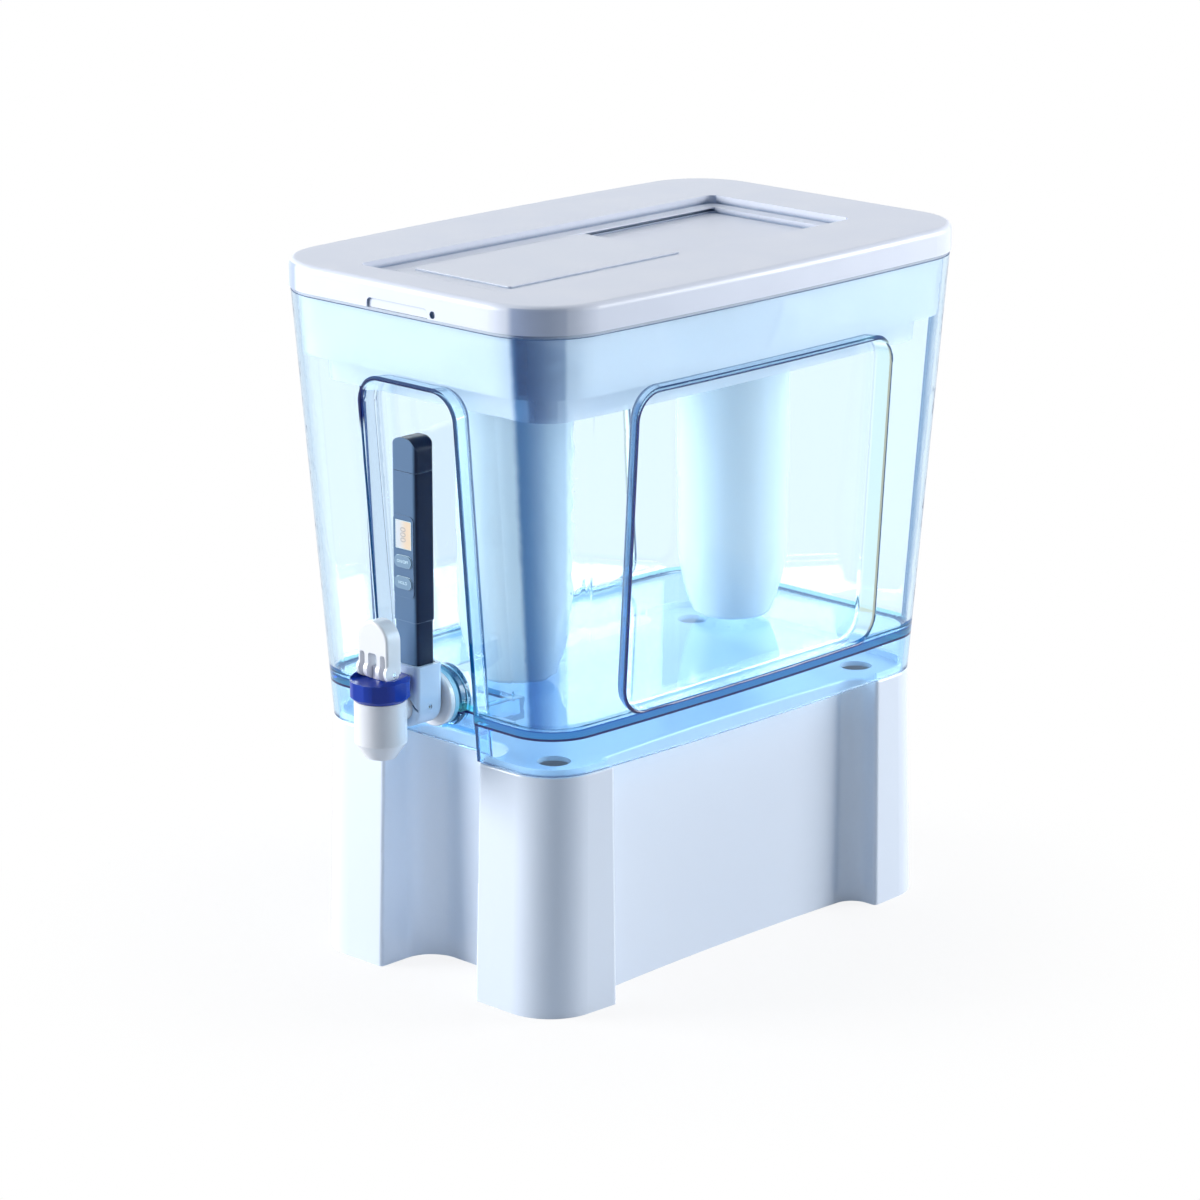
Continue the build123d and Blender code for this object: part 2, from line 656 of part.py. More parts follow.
def make_filter_cap(y):
    """Cartridge's cap: flange, perforated crown and a grip to turn it by."""
    crown_z = flange_z + FILTER_FLANGE_THICKNESS
    crown_top_z = crown_z + FILTER_CROWN_HEIGHT
    cap = upright_cylinder(FILTER_FLANGE_RADIUS, flange_z, crown_z, y=y)
    cap = cap + upright_cylinder(FILTER_CROWN_RADIUS, crown_z, crown_top_z, y=y)
    cap = cap - upright_cylinder(
        FILTER_CROWN_RADIUS - FILTER_CROWN_WALL, flange_z - OVERCUT, crown_top_z - FILTER_CROWN_WALL, y=y
    )
    slot_reach = FILTER_CROWN_RADIUS - FILTER_CROWN_WALL - INLET_LENGTH
    slot = upright_box(
        (slot_reach, slot_reach + INLET_LENGTH),
        (-INLET_WIDTH / 2, INLET_WIDTH / 2),
        (crown_top_z - OVERCUT, crown_top_z + OVERCUT),
    )
    for index in range(INLET_COUNT):
        turn = (index + 1 / 2) * 360 / INLET_COUNT
        cap = cap - Pos(0, y, 0) * Rot(0, 0, turn) * slot
    grip = upright_box(
        (-GRIP_LENGTH / 2, GRIP_LENGTH / 2),
        (-GRIP_THICKNESS / 2, GRIP_THICKNESS / 2),
        (crown_top_z - FILTER_CROWN_WALL, crown_top_z + GRIP_HEIGHT),
    )
    return cap + Pos(0, y, 0) * grip


def make_filter_upper(y):
    """Upper shell of the cartridge, a straight tube with three bayonet lugs under the tray."""
    shell = upright_cylinder(FILTER_RADIUS, filter_seam_z, flange_z, y=y)
    inner = FILTER_RADIUS - FILTER_WALL
    shell = shell - upright_cylinder(inner, filter_seam_z - OVERCUT, flange_z + OVERCUT, y=y)
    lug_top = tray_under_z - SEAT_GAP
    return shell + lug_ring(inner, FILTER_RADIUS + LUG_REACH, lug_top - LUG_HEIGHT, lug_top, y, 0.0)


def lower_form(y, inset=0.0):
    """The lower shell's outer form, set in by a wall: a tube with a curved taper to a flat end."""
    side = FILTER_RADIUS - FILTER_LOWER_STEP - inset
    nose = FILTER_NOSE_RADIUS - inset
    low = nose_z + inset
    edge_z = low + FILTER_NOSE_EDGE
    taper_z = nose_z + FILTER_TAPER_HEIGHT
    middle = ((side + nose) / 2 + FILTER_TAPER_BULGE, 0, (taper_z + edge_z) / 2)
    profile = make_face(
        [
            Line((0, 0, low), (nose - FILTER_NOSE_EDGE, 0, low)),
            Line((nose - FILTER_NOSE_EDGE, 0, low), (nose, 0, edge_z)),
            ThreePointArc((nose, 0, edge_z), middle, (side, 0, taper_z)),
            Line((side, 0, taper_z), (side, 0, filter_seam_z)),
            Line((side, 0, filter_seam_z), (0, 0, filter_seam_z)),
            Line((0, 0, filter_seam_z), (0, 0, low)),
        ]
    )
    return Pos(0, y, 0) * revolve(profile, Axis.Z)


def make_filter_lower(y):
    """Lower shell: a cup that narrows to a perforated flat end."""
    shell = lower_form(y) - lower_form(y, FILTER_WALL)
    for index in range(OUTLET_COUNT):
        turn = radians(index * 360 / OUTLET_COUNT)
        ring = FILTER_NOSE_RADIUS / 2
        hole = upright_cylinder(
            OUTLET_RADIUS, nose_z - OVERCUT, nose_z + OVERCUT, ring * cos(turn), y + ring * sin(turn)
        )
        shell = shell - hole
    return shell


def make_filter_medium(y):
    """Packed filter medium that fills both shells."""
    lower = lower_form(y, FILTER_WALL + SEAT_GAP)
    packed_radius = FILTER_RADIUS - FILTER_WALL - SEAT_GAP - FILTER_LOWER_STEP
    return lower + upright_cylinder(packed_radius, filter_seam_z, flange_z, y=y)


# ---------------------------------------------------------------- lid and fill door

def track_plan(half_width, front, back, corner):
    """Plan of a channel or opening in the lid."""
    return Pos(0, (back - front) / 2, 0) * RectangleRounded(2 * half_width, front + back, corner)


def make_lid():
    """Lid: hollow cap with a two-step channel, the door's tracks and the fill hole."""
    rim_size = (RIM_WIDTH + 2 * LID_OVERHANG, RIM_LENGTH + 2 * LID_OVERHANG, RIM_CORNER + LID_OVERHANG)
    outside = extrude(Pos(0, 0, lid_z) * body_plan(*rim_size), LID_HEIGHT)
    outside = fillet(outside.edges().group_by(Axis.Z)[-1], LID_EDGE)
    cavity_height = LID_HEIGHT - LID_WALL
    cavity = extrude(Pos(0, 0, lid_z - OVERCUT) * body_plan(*rim_size, LID_WALL), cavity_height + OVERCUT)
    tub_plan = track_plan(
        CHANNEL_WIDTH / 2 + LID_WALL,
        CHANNEL_FRONT + LID_WALL,
        CHANNEL_BACK + LID_WALL,
        CHANNEL_CORNER + LID_WALL,
    )
    tub = extrude(Pos(0, 0, tub_under_z) * tub_plan, lid_top_z - tub_under_z)
    lid = outside - (cavity - tub)
    channel = track_plan(CHANNEL_WIDTH / 2, CHANNEL_FRONT, CHANNEL_BACK, CHANNEL_CORNER)
    lid = lid - extrude(Pos(0, 0, channel_z) * channel, OVERCUT)
    track = track_plan(TRACK_WIDTH / 2, TRACK_FRONT, TRACK_BACK, TRACK_CORNER)
    lid = lid - extrude(Pos(0, 0, track_z) * track, OVERCUT)
    groove_half = TRACK_WIDTH / 2 + TONGUE_REACH + DOOR_GAP / 2
    groove_high = channel_z - TONGUE_DROP + SEAT_GAP
    groove_low = groove_high - TONGUE_THICKNESS - 2 * SEAT_GAP
    groove_levels = (groove_low, groove_high)
    lid = lid - upright_box((-groove_half, groove_half), (-TRACK_FRONT, TRACK_BACK), groove_levels)
    hole = track_plan(FILL_HOLE_WIDTH / 2, FILL_HOLE_FRONT, -FILL_HOLE_BACK, FILL_HOLE_CORNER)
    lid = lid - extrude(Pos(0, 0, tub_under_z - OVERCUT) * hole, 2 * OVERCUT)
    # plug that centres the lid in the tray
    plug_inset = TANK_WALL + TRAY_SIDE_GAP + TRAY_WALL + LID_PLUG_GAP
    plug_z = lid_z - LID_PLUG_DEPTH
    ring = body_plan(RIM_WIDTH, RIM_LENGTH, RIM_CORNER, plug_inset)
    plug = extrude(Pos(0, 0, plug_z) * ring, lid_top_z - LID_WALL - plug_z)
    core = body_plan(RIM_WIDTH, RIM_LENGTH, RIM_CORNER, plug_inset + LID_PLUG_THICKNESS)
    lid = lid + (plug - extrude(Pos(0, 0, plug_z - OVERCUT) * core, LID_HEIGHT + 2 * OVERCUT))
    notch_front = -RIM_LENGTH / 2 - LID_OVERHANG
    notch = upright_box(
        (-NOTCH_WIDTH / 2, NOTCH_WIDTH / 2),
        (notch_front - OVERCUT, notch_front + NOTCH_DEPTH),
        (lid_z - OVERCUT, lid_z + NOTCH_HEIGHT),
    )
    notch = fillet(notch.edges().filter_by(Axis.Y).sort_by(Axis.Z)[-2:], NOTCH_HEIGHT / 2)
    latch_hole = level_cylinder(
        LATCH_HOLE_RADIUS,
        notch_front - OVERCUT,
        notch_front + LATCH_HOLE_DEPTH,
        LATCH_HOLE_X,
        lid_z + NOTCH_HEIGHT / 2,
    )
    return lid - notch - latch_hole


def make_door():
    """Fill door: flat panel with side tongues and a low raised pad."""
    front = -TRACK_FRONT + DOOR_GAP
    back = front + DOOR_LENGTH
    half = TRACK_WIDTH / 2 - DOOR_GAP
    panel = RectangleRounded(2 * half, DOOR_LENGTH, TRACK_CORNER - DOOR_GAP)
    plate = extrude(Pos(0, (front + back) / 2, track_z + SEAT_GAP) * panel, TRACK_DEPTH - SEAT_GAP)
    tongue_top = channel_z - TONGUE_DROP
    tongues = upright_box(
        (-TRACK_WIDTH / 2 - TONGUE_REACH + DOOR_GAP / 2, TRACK_WIDTH / 2 + TONGUE_REACH - DOOR_GAP / 2),
        (front + TRACK_CORNER, back - TRACK_CORNER),
        (tongue_top - TONGUE_THICKNESS, tongue_top),
    )
    pad_length = DOOR_LENGTH - PAD_SETBACK
    pad = extrude(Pos(0, back - pad_length / 2, channel_z - PAD_HEIGHT) * RectangleRounded(
        PAD_WIDTH, pad_length, PAD_CORNER
    ), 2 * PAD_HEIGHT)
    pad = fillet(pad.edges().group_by(Axis.Z)[-1], PAD_EDGE)
    return plate + tongues + pad


# ---------------------------------------------------------------- tap

def make_tap_body():
    """Tap body: spout, valve chamber, threaded neck, and the shank with its flange."""
    body = turned(
        [
            (0, nozzle_z),
            (NOZZLE_RADIUS, nozzle_z),
            (TAP_RADIUS, nozzle_z + CONE_HEIGHT),
            (TAP_RADIUS, neck_z),
            (NECK_RADIUS, neck_z),
            (NECK_RADIUS, neck_top_z),
            (0, neck_top_z),
        ],
        y=tap_y,
    )
    body = body + level_cylinder(SHANK_RADIUS, tap_y, shank_end_y, z=shank_z)
    flange_y = boss_face_y - SEAL_THICKNESS - SEAT_GAP
    flange = level_cylinder(FLANGE_RADIUS, flange_y - FLANGE_THICKNESS, flange_y, z=shank_z)
    body = body + fillet(flange.edges().sort_by(Axis.Y)[0], BONNET_EDGE)
    chamber = upright_cylinder(CHAMBER_RADIUS, chamber_z, neck_top_z + OVERCUT, y=tap_y)
    outlet = upright_cylinder(OUTLET_BORE, nozzle_z - OVERCUT, chamber_z + OVERCUT, y=tap_y)
    return body - chamber - outlet - level_cylinder(SHANK_BORE, tap_y, shank_end_y + OVERCUT, z=shank_z)


def shank_passage(near_y, far_y):
    """Tool for the hole by which a piece goes over the shank."""
    return level_cylinder(SHANK_RADIUS + SHANK_HOLE_GAP, near_y - OVERCUT, far_y + OVERCUT, z=shank_z)


def make_ring_on_shank(outer, near_y, far_y):
    """Flat ring threaded on the shank."""
    ring = level_cylinder(outer, near_y, far_y, z=shank_z)
    return ring - shank_passage(near_y, far_y)


def make_nut():
    """Hexagonal fixing nut inside the tank."""
    section = RegularPolygon(NUT_ACROSS / 2, 6, major_radius=False)
    blank = Pos(0, nut_y + NUT_THICKNESS, shank_z) * Rot(90, 0, 0) * extrude(section, NUT_THICKNESS)
    return blank - shank_passage(nut_y, nut_y + NUT_THICKNESS)


def make_bonnet():
    """Bonnet ring: eight flats to grip, a saddle for the lever's foot, a guide for the stem."""
    cheek_top_z = bonnet_top_z + SADDLE_RISE
    flats = Pos(0, tap_y, bonnet_z) * RegularPolygon(
        BONNET_RADIUS, BONNET_FLATS, major_radius=False, rotation=BONNET_TURN
    )
    ring = extrude(flats, cheek_top_z - bonnet_z)
    corner_radius = BONNET_RADIUS / cos(pi / BONNET_FLATS) - BONNET_CORNER_TRIM
    blank = upright_cylinder(corner_radius, bonnet_z, cheek_top_z, y=tap_y)
    ring = ring & chamfer(blank.edges().filter_by(GeomType.CIRCLE), BONNET_EDGE + BONNET_CORNER_TRIM)
    saddle_half = LEVER_WIDTH / 2 + SADDLE_GAP
    saddle_levels = (bonnet_top_z, cheek_top_z + OVERCUT)
    saddle_reach = BONNET_RADIUS + OVERCUT
    saddle_span = (tap_y - saddle_reach, tap_y + saddle_reach)
    ring = ring - upright_box((-saddle_half, saddle_half), saddle_span, saddle_levels)
    inside_top = bonnet_top_z - BONNET_TOP
    ring = ring - upright_cylinder(NECK_RADIUS + NECK_GAP, bonnet_z - OVERCUT, inside_top, y=tap_y)
    guide = STEM_RADIUS + RUNNING_GAP
    return ring - upright_cylinder(guide, inside_top - OVERCUT, bonnet_top_z + OVERCUT, y=tap_y)


def seat_levels():
    """Lower and upper face of the rubber seat cup at rest."""
    low = chamber_z + SEAT_GAP
    return low, low + SEAT_THICKNESS


def on_pin_axis(radius, width):
    """Cylinder about the lever's hinge axis."""
    return Pos(0, tap_y, pin_z) * Rot(0, 90, 0) * Cylinder(radius, width)


def make_stem():
    """Valve stem: rod with a presser flange below and an eye for the lever's pin above."""
    seat_top = seat_levels()[1]
    rod = upright_cylinder(STEM_RADIUS, seat_top - SEAT_THICKNESS / 2, pin_z, y=tap_y)
    flange = upright_cylinder(STEM_FLANGE_RADIUS, seat_top, seat_top + STEM_FLANGE_THICKNESS, y=tap_y)
    eye = upright_box(
        (-EYE_WIDTH / 2, EYE_WIDTH / 2),
        (tap_y - EYE_DEPTH / 2, tap_y + EYE_DEPTH / 2),
        (bonnet_top_z + SEAT_GAP, pin_z + EYE_RISE),
    )
    return rod + flange + eye - on_pin_axis(PIN_RADIUS + RUNNING_GAP, EYE_WIDTH + OVERCUT)


def make_seat_cup():
    """Rubber cup that closes the outlet."""
    low, high = seat_levels()
    cup = upright_cylinder(SEAT_RADIUS, low, high, y=tap_y)
    cup = fillet(cup.edges().group_by(Axis.Z)[0], SEAT_THICKNESS / 4)
    socket_low = high - SEAT_THICKNESS / 2 - RUNNING_GAP
    return cup - upright_cylinder(STEM_RADIUS + RUNNING_GAP, socket_low, high + OVERCUT, y=tap_y)


def make_spring():
    """Return spring between the presser flange and the bonnet."""
    low = seat_levels()[1] + STEM_FLANGE_THICKNESS + SPRING_WIRE + RUNNING_GAP
    high = bonnet_top_z - BONNET_TOP - SPRING_WIRE - RUNNING_GAP
    path = Helix((high - low) / SPRING_TURNS, high - low, SPRING_RADIUS)
    section = Plane(origin=path @ 0, z_dir=path % 0) * Circle(SPRING_WIRE)
    return Pos(0, tap_y, low) * sweep(section, path=path)


def make_lever():
    """Tilting paddle with a forked foot; its off-centre round foot lifts the stem."""
    paddle_low = pin_z - RUNNING_GAP
    tip_z = pin_z + LEVER_LENGTH
    front = tap_y - LEVER_FRONT
    half = LEVER_WIDTH / 2
    face = make_face(
        [
            Line((-half, paddle_low), (half, paddle_low)),
            Line((half, paddle_low), (half, tip_z - half)),
            ThreePointArc((half, tip_z - half), (0, tip_z), (-half, tip_z - half)),
            Line((-half, tip_z - half), (-half, paddle_low)),
        ]
    )
    front_plane = Plane(origin=(0, front, 0), x_dir=(1, 0, 0), z_dir=(0, -1, 0))
    paddle = extrude(front_plane * face, -LEVER_THICKNESS)
    foot_place = Pos(0, -CAM_OFFSET * cos(cam_lead), CAM_OFFSET * sin(cam_lead))
    foot = foot_place * on_pin_axis(CAM_RADIUS, LEVER_WIDTH)
    paddle = fillet(paddle.faces().sort_by(Axis.Y)[0].edges().sort_by(Axis.Z)[1:], LEVER_EDGE)
    paddle = fillet(paddle.faces().sort_by(Axis.Y)[-1].edges().sort_by(Axis.Z)[1:], LEVER_EDGE)
    lever = paddle + foot
    fork_half = EYE_WIDTH / 2 + FORK_GAP
    fork_reach = LEVER_THICKNESS + CAM_RADIUS
    fork_slot = upright_box(
        (-fork_half, fork_half),
        (tap_y - fork_reach, tap_y + fork_reach),
        (bonnet_top_z - OVERCUT, pin_z + FORK_HEIGHT),
    )
    lever = lever - fillet(fork_slot.edges().filter_by(Axis.Y).sort_by(Axis.Z)[-2:], GROOVE_TOP)
    for x in (-GROOVE_OFFSET, GROOVE_OFFSET):
        groove = upright_box(
            (x - GROOVE_WIDTH / 2, x + GROOVE_WIDTH / 2),
            (front - OVERCUT, front + GROOVE_DEPTH),
            (bonnet_top_z, pin_z + FORK_HEIGHT),
        )
        lever = lever - fillet(groove.edges().filter_by(Axis.Y).sort_by(Axis.Z)[-2:], GROOVE_TOP)
    return lever - on_pin_axis(PIN_RADIUS + RUNNING_GAP, LEVER_WIDTH + OVERCUT)


def make_pin():
    """Lever's hinge pin."""
    return on_pin_axis(PIN_RADIUS, LEVER_WIDTH - SEAT_GAP)


# ---------------------------------------------------------------- meter and dock

def make_dock():
    """Bracket round the shank with a socket for the meter's lower end."""
    half = METER_WIDTH / 2 + SOCKET_GAP + DOCK_WALL
    front = meter_front_y - SOCKET_GAP - DOCK_WALL
    back = meter_back_y + SOCKET_GAP + DOCK_WALL
    column = upright_box((-half, half), (front, back), (shank_z, dock_top_z))
    column = column + level_cylinder(half, front, back, z=shank_z)
    column = fillet(column.edges().filter_by(Axis.Z), DOCK_EDGE)
    socket_width = METER_WIDTH + 2 * SOCKET_GAP
    socket_depth = METER_THICKNESS + 2 * SOCKET_GAP
    socket = rounded_column(
        socket_width, socket_depth, METER_CORNER + SOCKET_GAP, socket_z, dock_top_z + OVERCUT, y=meter_mid_y
    )
    column = column - socket - shank_passage(front, back)
    slit = Box(SLIT_WIDTH, 2 * SLIT_DEPTH, SLIT_LENGTH)
    slit_x = half - SLIT_DEPTH
    column = column - Pos(slit_x, front, shank_z) * Rot(0, -45, 0) * slit
    screw_hole = Pos(half, meter_mid_y, shank_z) * Rot(0, 90, 0) * Cylinder(SCREW_RADIUS, 4 * SCREW_LENGTH)
    return column - screw_hole


def make_dock_screw():
    """Set screw that clamps the dock on the shank."""
    head_x = METER_WIDTH / 2 + SOCKET_GAP + DOCK_WALL - SCREW_RECESS
    foot_x = head_x - SCREW_LENGTH
    crosswise = Rot(0, 90, 0)
    screw = Cylinder(SCREW_RADIUS - RUNNING_GAP, SCREW_LENGTH)
    key = extrude(RegularPolygon(SCREW_RADIUS / 2, 6), SCREW_LENGTH / 3, both=True)
    screw = Pos((head_x + foot_x) / 2, meter_mid_y, shank_z) * crosswise * screw
    return screw - Pos(head_x, meter_mid_y, shank_z) * crosswise * key


def meter_bar(low_z, high_z, inset=0.0):
    """Stretch of the meter's rounded section, set in by a wall."""
    width = METER_WIDTH - 2 * inset
    depth = METER_THICKNESS - 2 * inset
    return rounded_column(width, depth, METER_CORNER - inset / 2, low_z, high_z, y=meter_mid_y)


def make_probe_cap():
    """Removable cap over the meter's electrodes."""
    cap = meter_bar(meter_z, probe_cap_top_z, PROBE_CAP_STEP)
    return cap - meter_bar(meter_z + METER_WALL, probe_cap_top_z + OVERCUT, PROBE_CAP_STEP + METER_WALL)


def meter_face(drop):
    """Plane on the meter's bezel, a drop below the case's top: local Z outward."""
    return Plane(origin=(0, bezel_y, case_top_z - drop), x_dir=(1, 0, 0), z_dir=(0, -1, 0))


def button_slot(drop, grow):
    """Oval well of a button in the meter's face, or the button itself."""
    outline = SlotOverall(BUTTON_WIDTH + 2 * grow, BUTTON_HEIGHT + 2 * grow)
    return meter_face(drop), outline


def make_meter_case():
    """Meter's case: battery bay above, face with display and buttons, plug for the probe cap."""
    case = meter_bar(case_z, case_top_z)
    plug_inset = PROBE_CAP_STEP + METER_WALL + SOCKET_GAP
    case = case + meter_bar(case_z - PROBE_PLUG_LENGTH, case_z, plug_inset)
    case = case + meter_bar(case_top_z, case_top_z + PLUG_HEIGHT, METER_WALL + SOCKET_GAP)
    bezel_height = BEZEL_BOTTOM_DROP - BEZEL_TOP_DROP
    bezel_plane = meter_face((BEZEL_TOP_DROP + BEZEL_BOTTOM_DROP) / 2)
    bezel = bezel_plane * RectangleRounded(BEZEL_WIDTH, bezel_height, BEZEL_CORNER)
    case = case + extrude(bezel, -BEZEL_PROUD - METER_WALL)
    bay_depth = CELL_COUNT * CELL_THICKNESS + SEAT_GAP
    case_bay_top = case_top_z + PLUG_HEIGHT
    bay_low = case_bay_top - bay_depth
    case = case - upright_cylinder(CELL_RADIUS + SEAT_GAP, bay_low, case_bay_top + OVERCUT, y=meter_mid_y)
    window = upright_box(
        (-DISPLAY_WIDTH / 2, DISPLAY_WIDTH / 2),
        (bezel_y - OVERCUT, bezel_y + DISPLAY_THICKNESS),
        (case_top_z - DISPLAY_DROP - DISPLAY_HEIGHT, case_top_z - DISPLAY_DROP),
    )
    case = case - window
    well_depth = BUTTON_THICKNESS - BUTTON_PROUD + BUTTON_TRAVEL + BUTTON_GAP
    for drop in (POWER_BUTTON_DROP, HOLD_BUTTON_DROP):
        middle, outline = button_slot(drop, BUTTON_GAP)
        case = case - middle * extrude(outline, -well_depth)
    for x in (-ELECTRODE_SPACING / 2, ELECTRODE_SPACING / 2):
        low = case_z - PROBE_PLUG_LENGTH
        hole_top = low + ELECTRODE_LENGTH / 2
        case = case - upright_cylinder(ELECTRODE_RADIUS, low - OVERCUT, hole_top, x, meter_mid_y)
    return case


def make_electrodes():
    """Two electrode rods that stand out of the case's plug."""
    low = case_z - PROBE_PLUG_LENGTH
    foot = low - ELECTRODE_LENGTH
    head = low + ELECTRODE_LENGTH / 2 - RUNNING_GAP
    rods = []
    for x in (-ELECTRODE_SPACING / 2, ELECTRODE_SPACING / 2):
        rods.append(upright_cylinder(ELECTRODE_RADIUS - RUNNING_GAP, foot, head, x, meter_mid_y))
    return Compound(children=rods)


def make_cells():
    """Stack of button cells in the battery bay."""
    low = case_top_z + PLUG_HEIGHT - CELL_COUNT * CELL_THICKNESS
    cells = []
    for index in range(CELL_COUNT):
        foot = low + index * CELL_THICKNESS
        top = foot + CELL_THICKNESS - RUNNING_GAP
        cells.append(upright_cylinder(CELL_RADIUS, foot, top, y=meter_mid_y))
    return Compound(children=cells)


def make_battery_cap():
    """Pull-off cap over the battery bay, with a round-shouldered top."""
    outline = upright_box(
        (-METER_WIDTH / 2, METER_WIDTH / 2),
        (meter_front_y - OVERCUT, meter_back_y + OVERCUT),
        (battery_cap_z - OVERCUT, meter_top_z),
    )
    outline = fillet(outline.edges().filter_by(Axis.Y).sort_by(Axis.Z)[-2:], CAP_ROUNDING)
    cap = meter_bar(battery_cap_z, meter_top_z) & outline
    return cap - meter_bar(battery_cap_z - OVERCUT, case_top_z + PLUG_HEIGHT + METER_WALL, METER_WALL)


def make_display():
    """Display window let into the meter's face."""
    return upright_box(
        (-DISPLAY_WIDTH / 2 + RUNNING_GAP, DISPLAY_WIDTH / 2 - RUNNING_GAP),
        (bezel_y + RUNNING_GAP, bezel_y + DISPLAY_THICKNESS - RUNNING_GAP),
        (case_top_z - DISPLAY_DROP - DISPLAY_HEIGHT + RUNNING_GAP, case_top_z - DISPLAY_DROP - RUNNING_GAP),
    )


def make_button(drop):
    """Oval push button."""
    middle, outline = button_slot(drop, 0.0)
    outer = middle * Pos(0, 0, BUTTON_PROUD) * outline
    return extrude(outer, -BUTTON_THICKNESS)


# ---------------------------------------------------------------- parts list

def make_parts():
    """Every piece by the name of its node."""
    outer_seal_y = boss_face_y - SEAL_THICKNESS
    washer_end_y = seat_face_y + WASHER_THICKNESS
    parts = {
        "base_stand": make_stand(),
        "tank": make_tank(),
        "upper_tray": make_tray(),
        "lid": make_lid(),
        "fill_door": make_door(),
        "tap_body": make_tap_body(),
        "tap_outer_gasket": make_ring_on_shank(FLANGE_RADIUS, outer_seal_y, boss_face_y),
        "tap_inner_washer": make_ring_on_shank(FLANGE_RADIUS, seat_face_y, washer_end_y),
        "tap_fixing_nut": make_nut(),
        "bonnet_ring": make_bonnet(),
        "valve_stem": make_stem(),
        "valve_seat_cup": make_seat_cup(),
        "valve_spring": make_spring(),
        "tap_lever": make_lever(),
        "lever_pin": make_pin(),
        "meter_dock": make_dock(),
        "dock_screw": make_dock_screw(),
        "meter_probe_cap": make_probe_cap(),
        "meter_case": make_meter_case(),
        "meter_electrodes": make_electrodes(),
        "meter_cells": make_cells(),
        "meter_battery_cap": make_battery_cap(),
        "meter_display": make_display(),
        "meter_power_button": make_button(POWER_BUTTON_DROP),
        "meter_hold_button": make_button(HOLD_BUTTON_DROP),
    }
    for place, y in filter_y.items():
        parts[f"filter_{place}_gasket"] = make_gasket(y)
        parts[f"filter_{place}_cap"] = make_filter_cap(y)
        parts[f"filter_{place}_upper_shell"] = make_filter_upper(y)
        parts[f"filter_{place}_lower_shell"] = make_filter_lower(y)
        parts[f"filter_{place}_medium"] = make_filter_medium(y)
    return parts


os.makedirs("parts", exist_ok=True)
for name, piece in make_parts().items():
    export_step(Pos(0, centring, 0) * piece, f"parts/{name}.step")
print("stem lift", round(stem_lift, 3), "shift towards the back", round(centring, 3))
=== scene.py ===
"""Studio scene of a countertop water dispenser that filters by gravity.

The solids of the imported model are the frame. Each one gets its finish, the small printed details are
added, and a pale studio with one camera is set round the dispenser.
"""

import json
import logging
import math
from dataclasses import dataclass, field
from enum import Enum
from typing import Any

import bmesh
import bpy
from mathutils import Matrix, Vector


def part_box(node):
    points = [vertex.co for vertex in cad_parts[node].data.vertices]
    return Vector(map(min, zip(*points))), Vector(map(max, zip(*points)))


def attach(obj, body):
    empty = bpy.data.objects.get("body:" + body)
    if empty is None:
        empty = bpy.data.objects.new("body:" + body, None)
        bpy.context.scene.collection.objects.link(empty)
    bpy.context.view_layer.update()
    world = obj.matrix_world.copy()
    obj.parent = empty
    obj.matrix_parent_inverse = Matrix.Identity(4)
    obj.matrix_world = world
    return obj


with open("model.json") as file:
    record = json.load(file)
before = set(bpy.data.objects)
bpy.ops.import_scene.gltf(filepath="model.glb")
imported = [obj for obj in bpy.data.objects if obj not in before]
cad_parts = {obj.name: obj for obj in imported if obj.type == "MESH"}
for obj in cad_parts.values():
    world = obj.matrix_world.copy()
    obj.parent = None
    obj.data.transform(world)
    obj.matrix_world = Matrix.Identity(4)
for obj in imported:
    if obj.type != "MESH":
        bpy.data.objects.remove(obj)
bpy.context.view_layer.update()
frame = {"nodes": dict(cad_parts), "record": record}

MM = 0.001

log = logging.getLogger("dispenser")

Colour = tuple[float, float, float]
WHITE: Colour = (1.0, 1.0, 1.0)


class Slot(Enum):
    """Material slots of the record that the prints on the meter belong to."""

    DISPLAY = "display_grey"
    BUTTON = "button_pale"


# ---------------------------------------------------------------- node trees


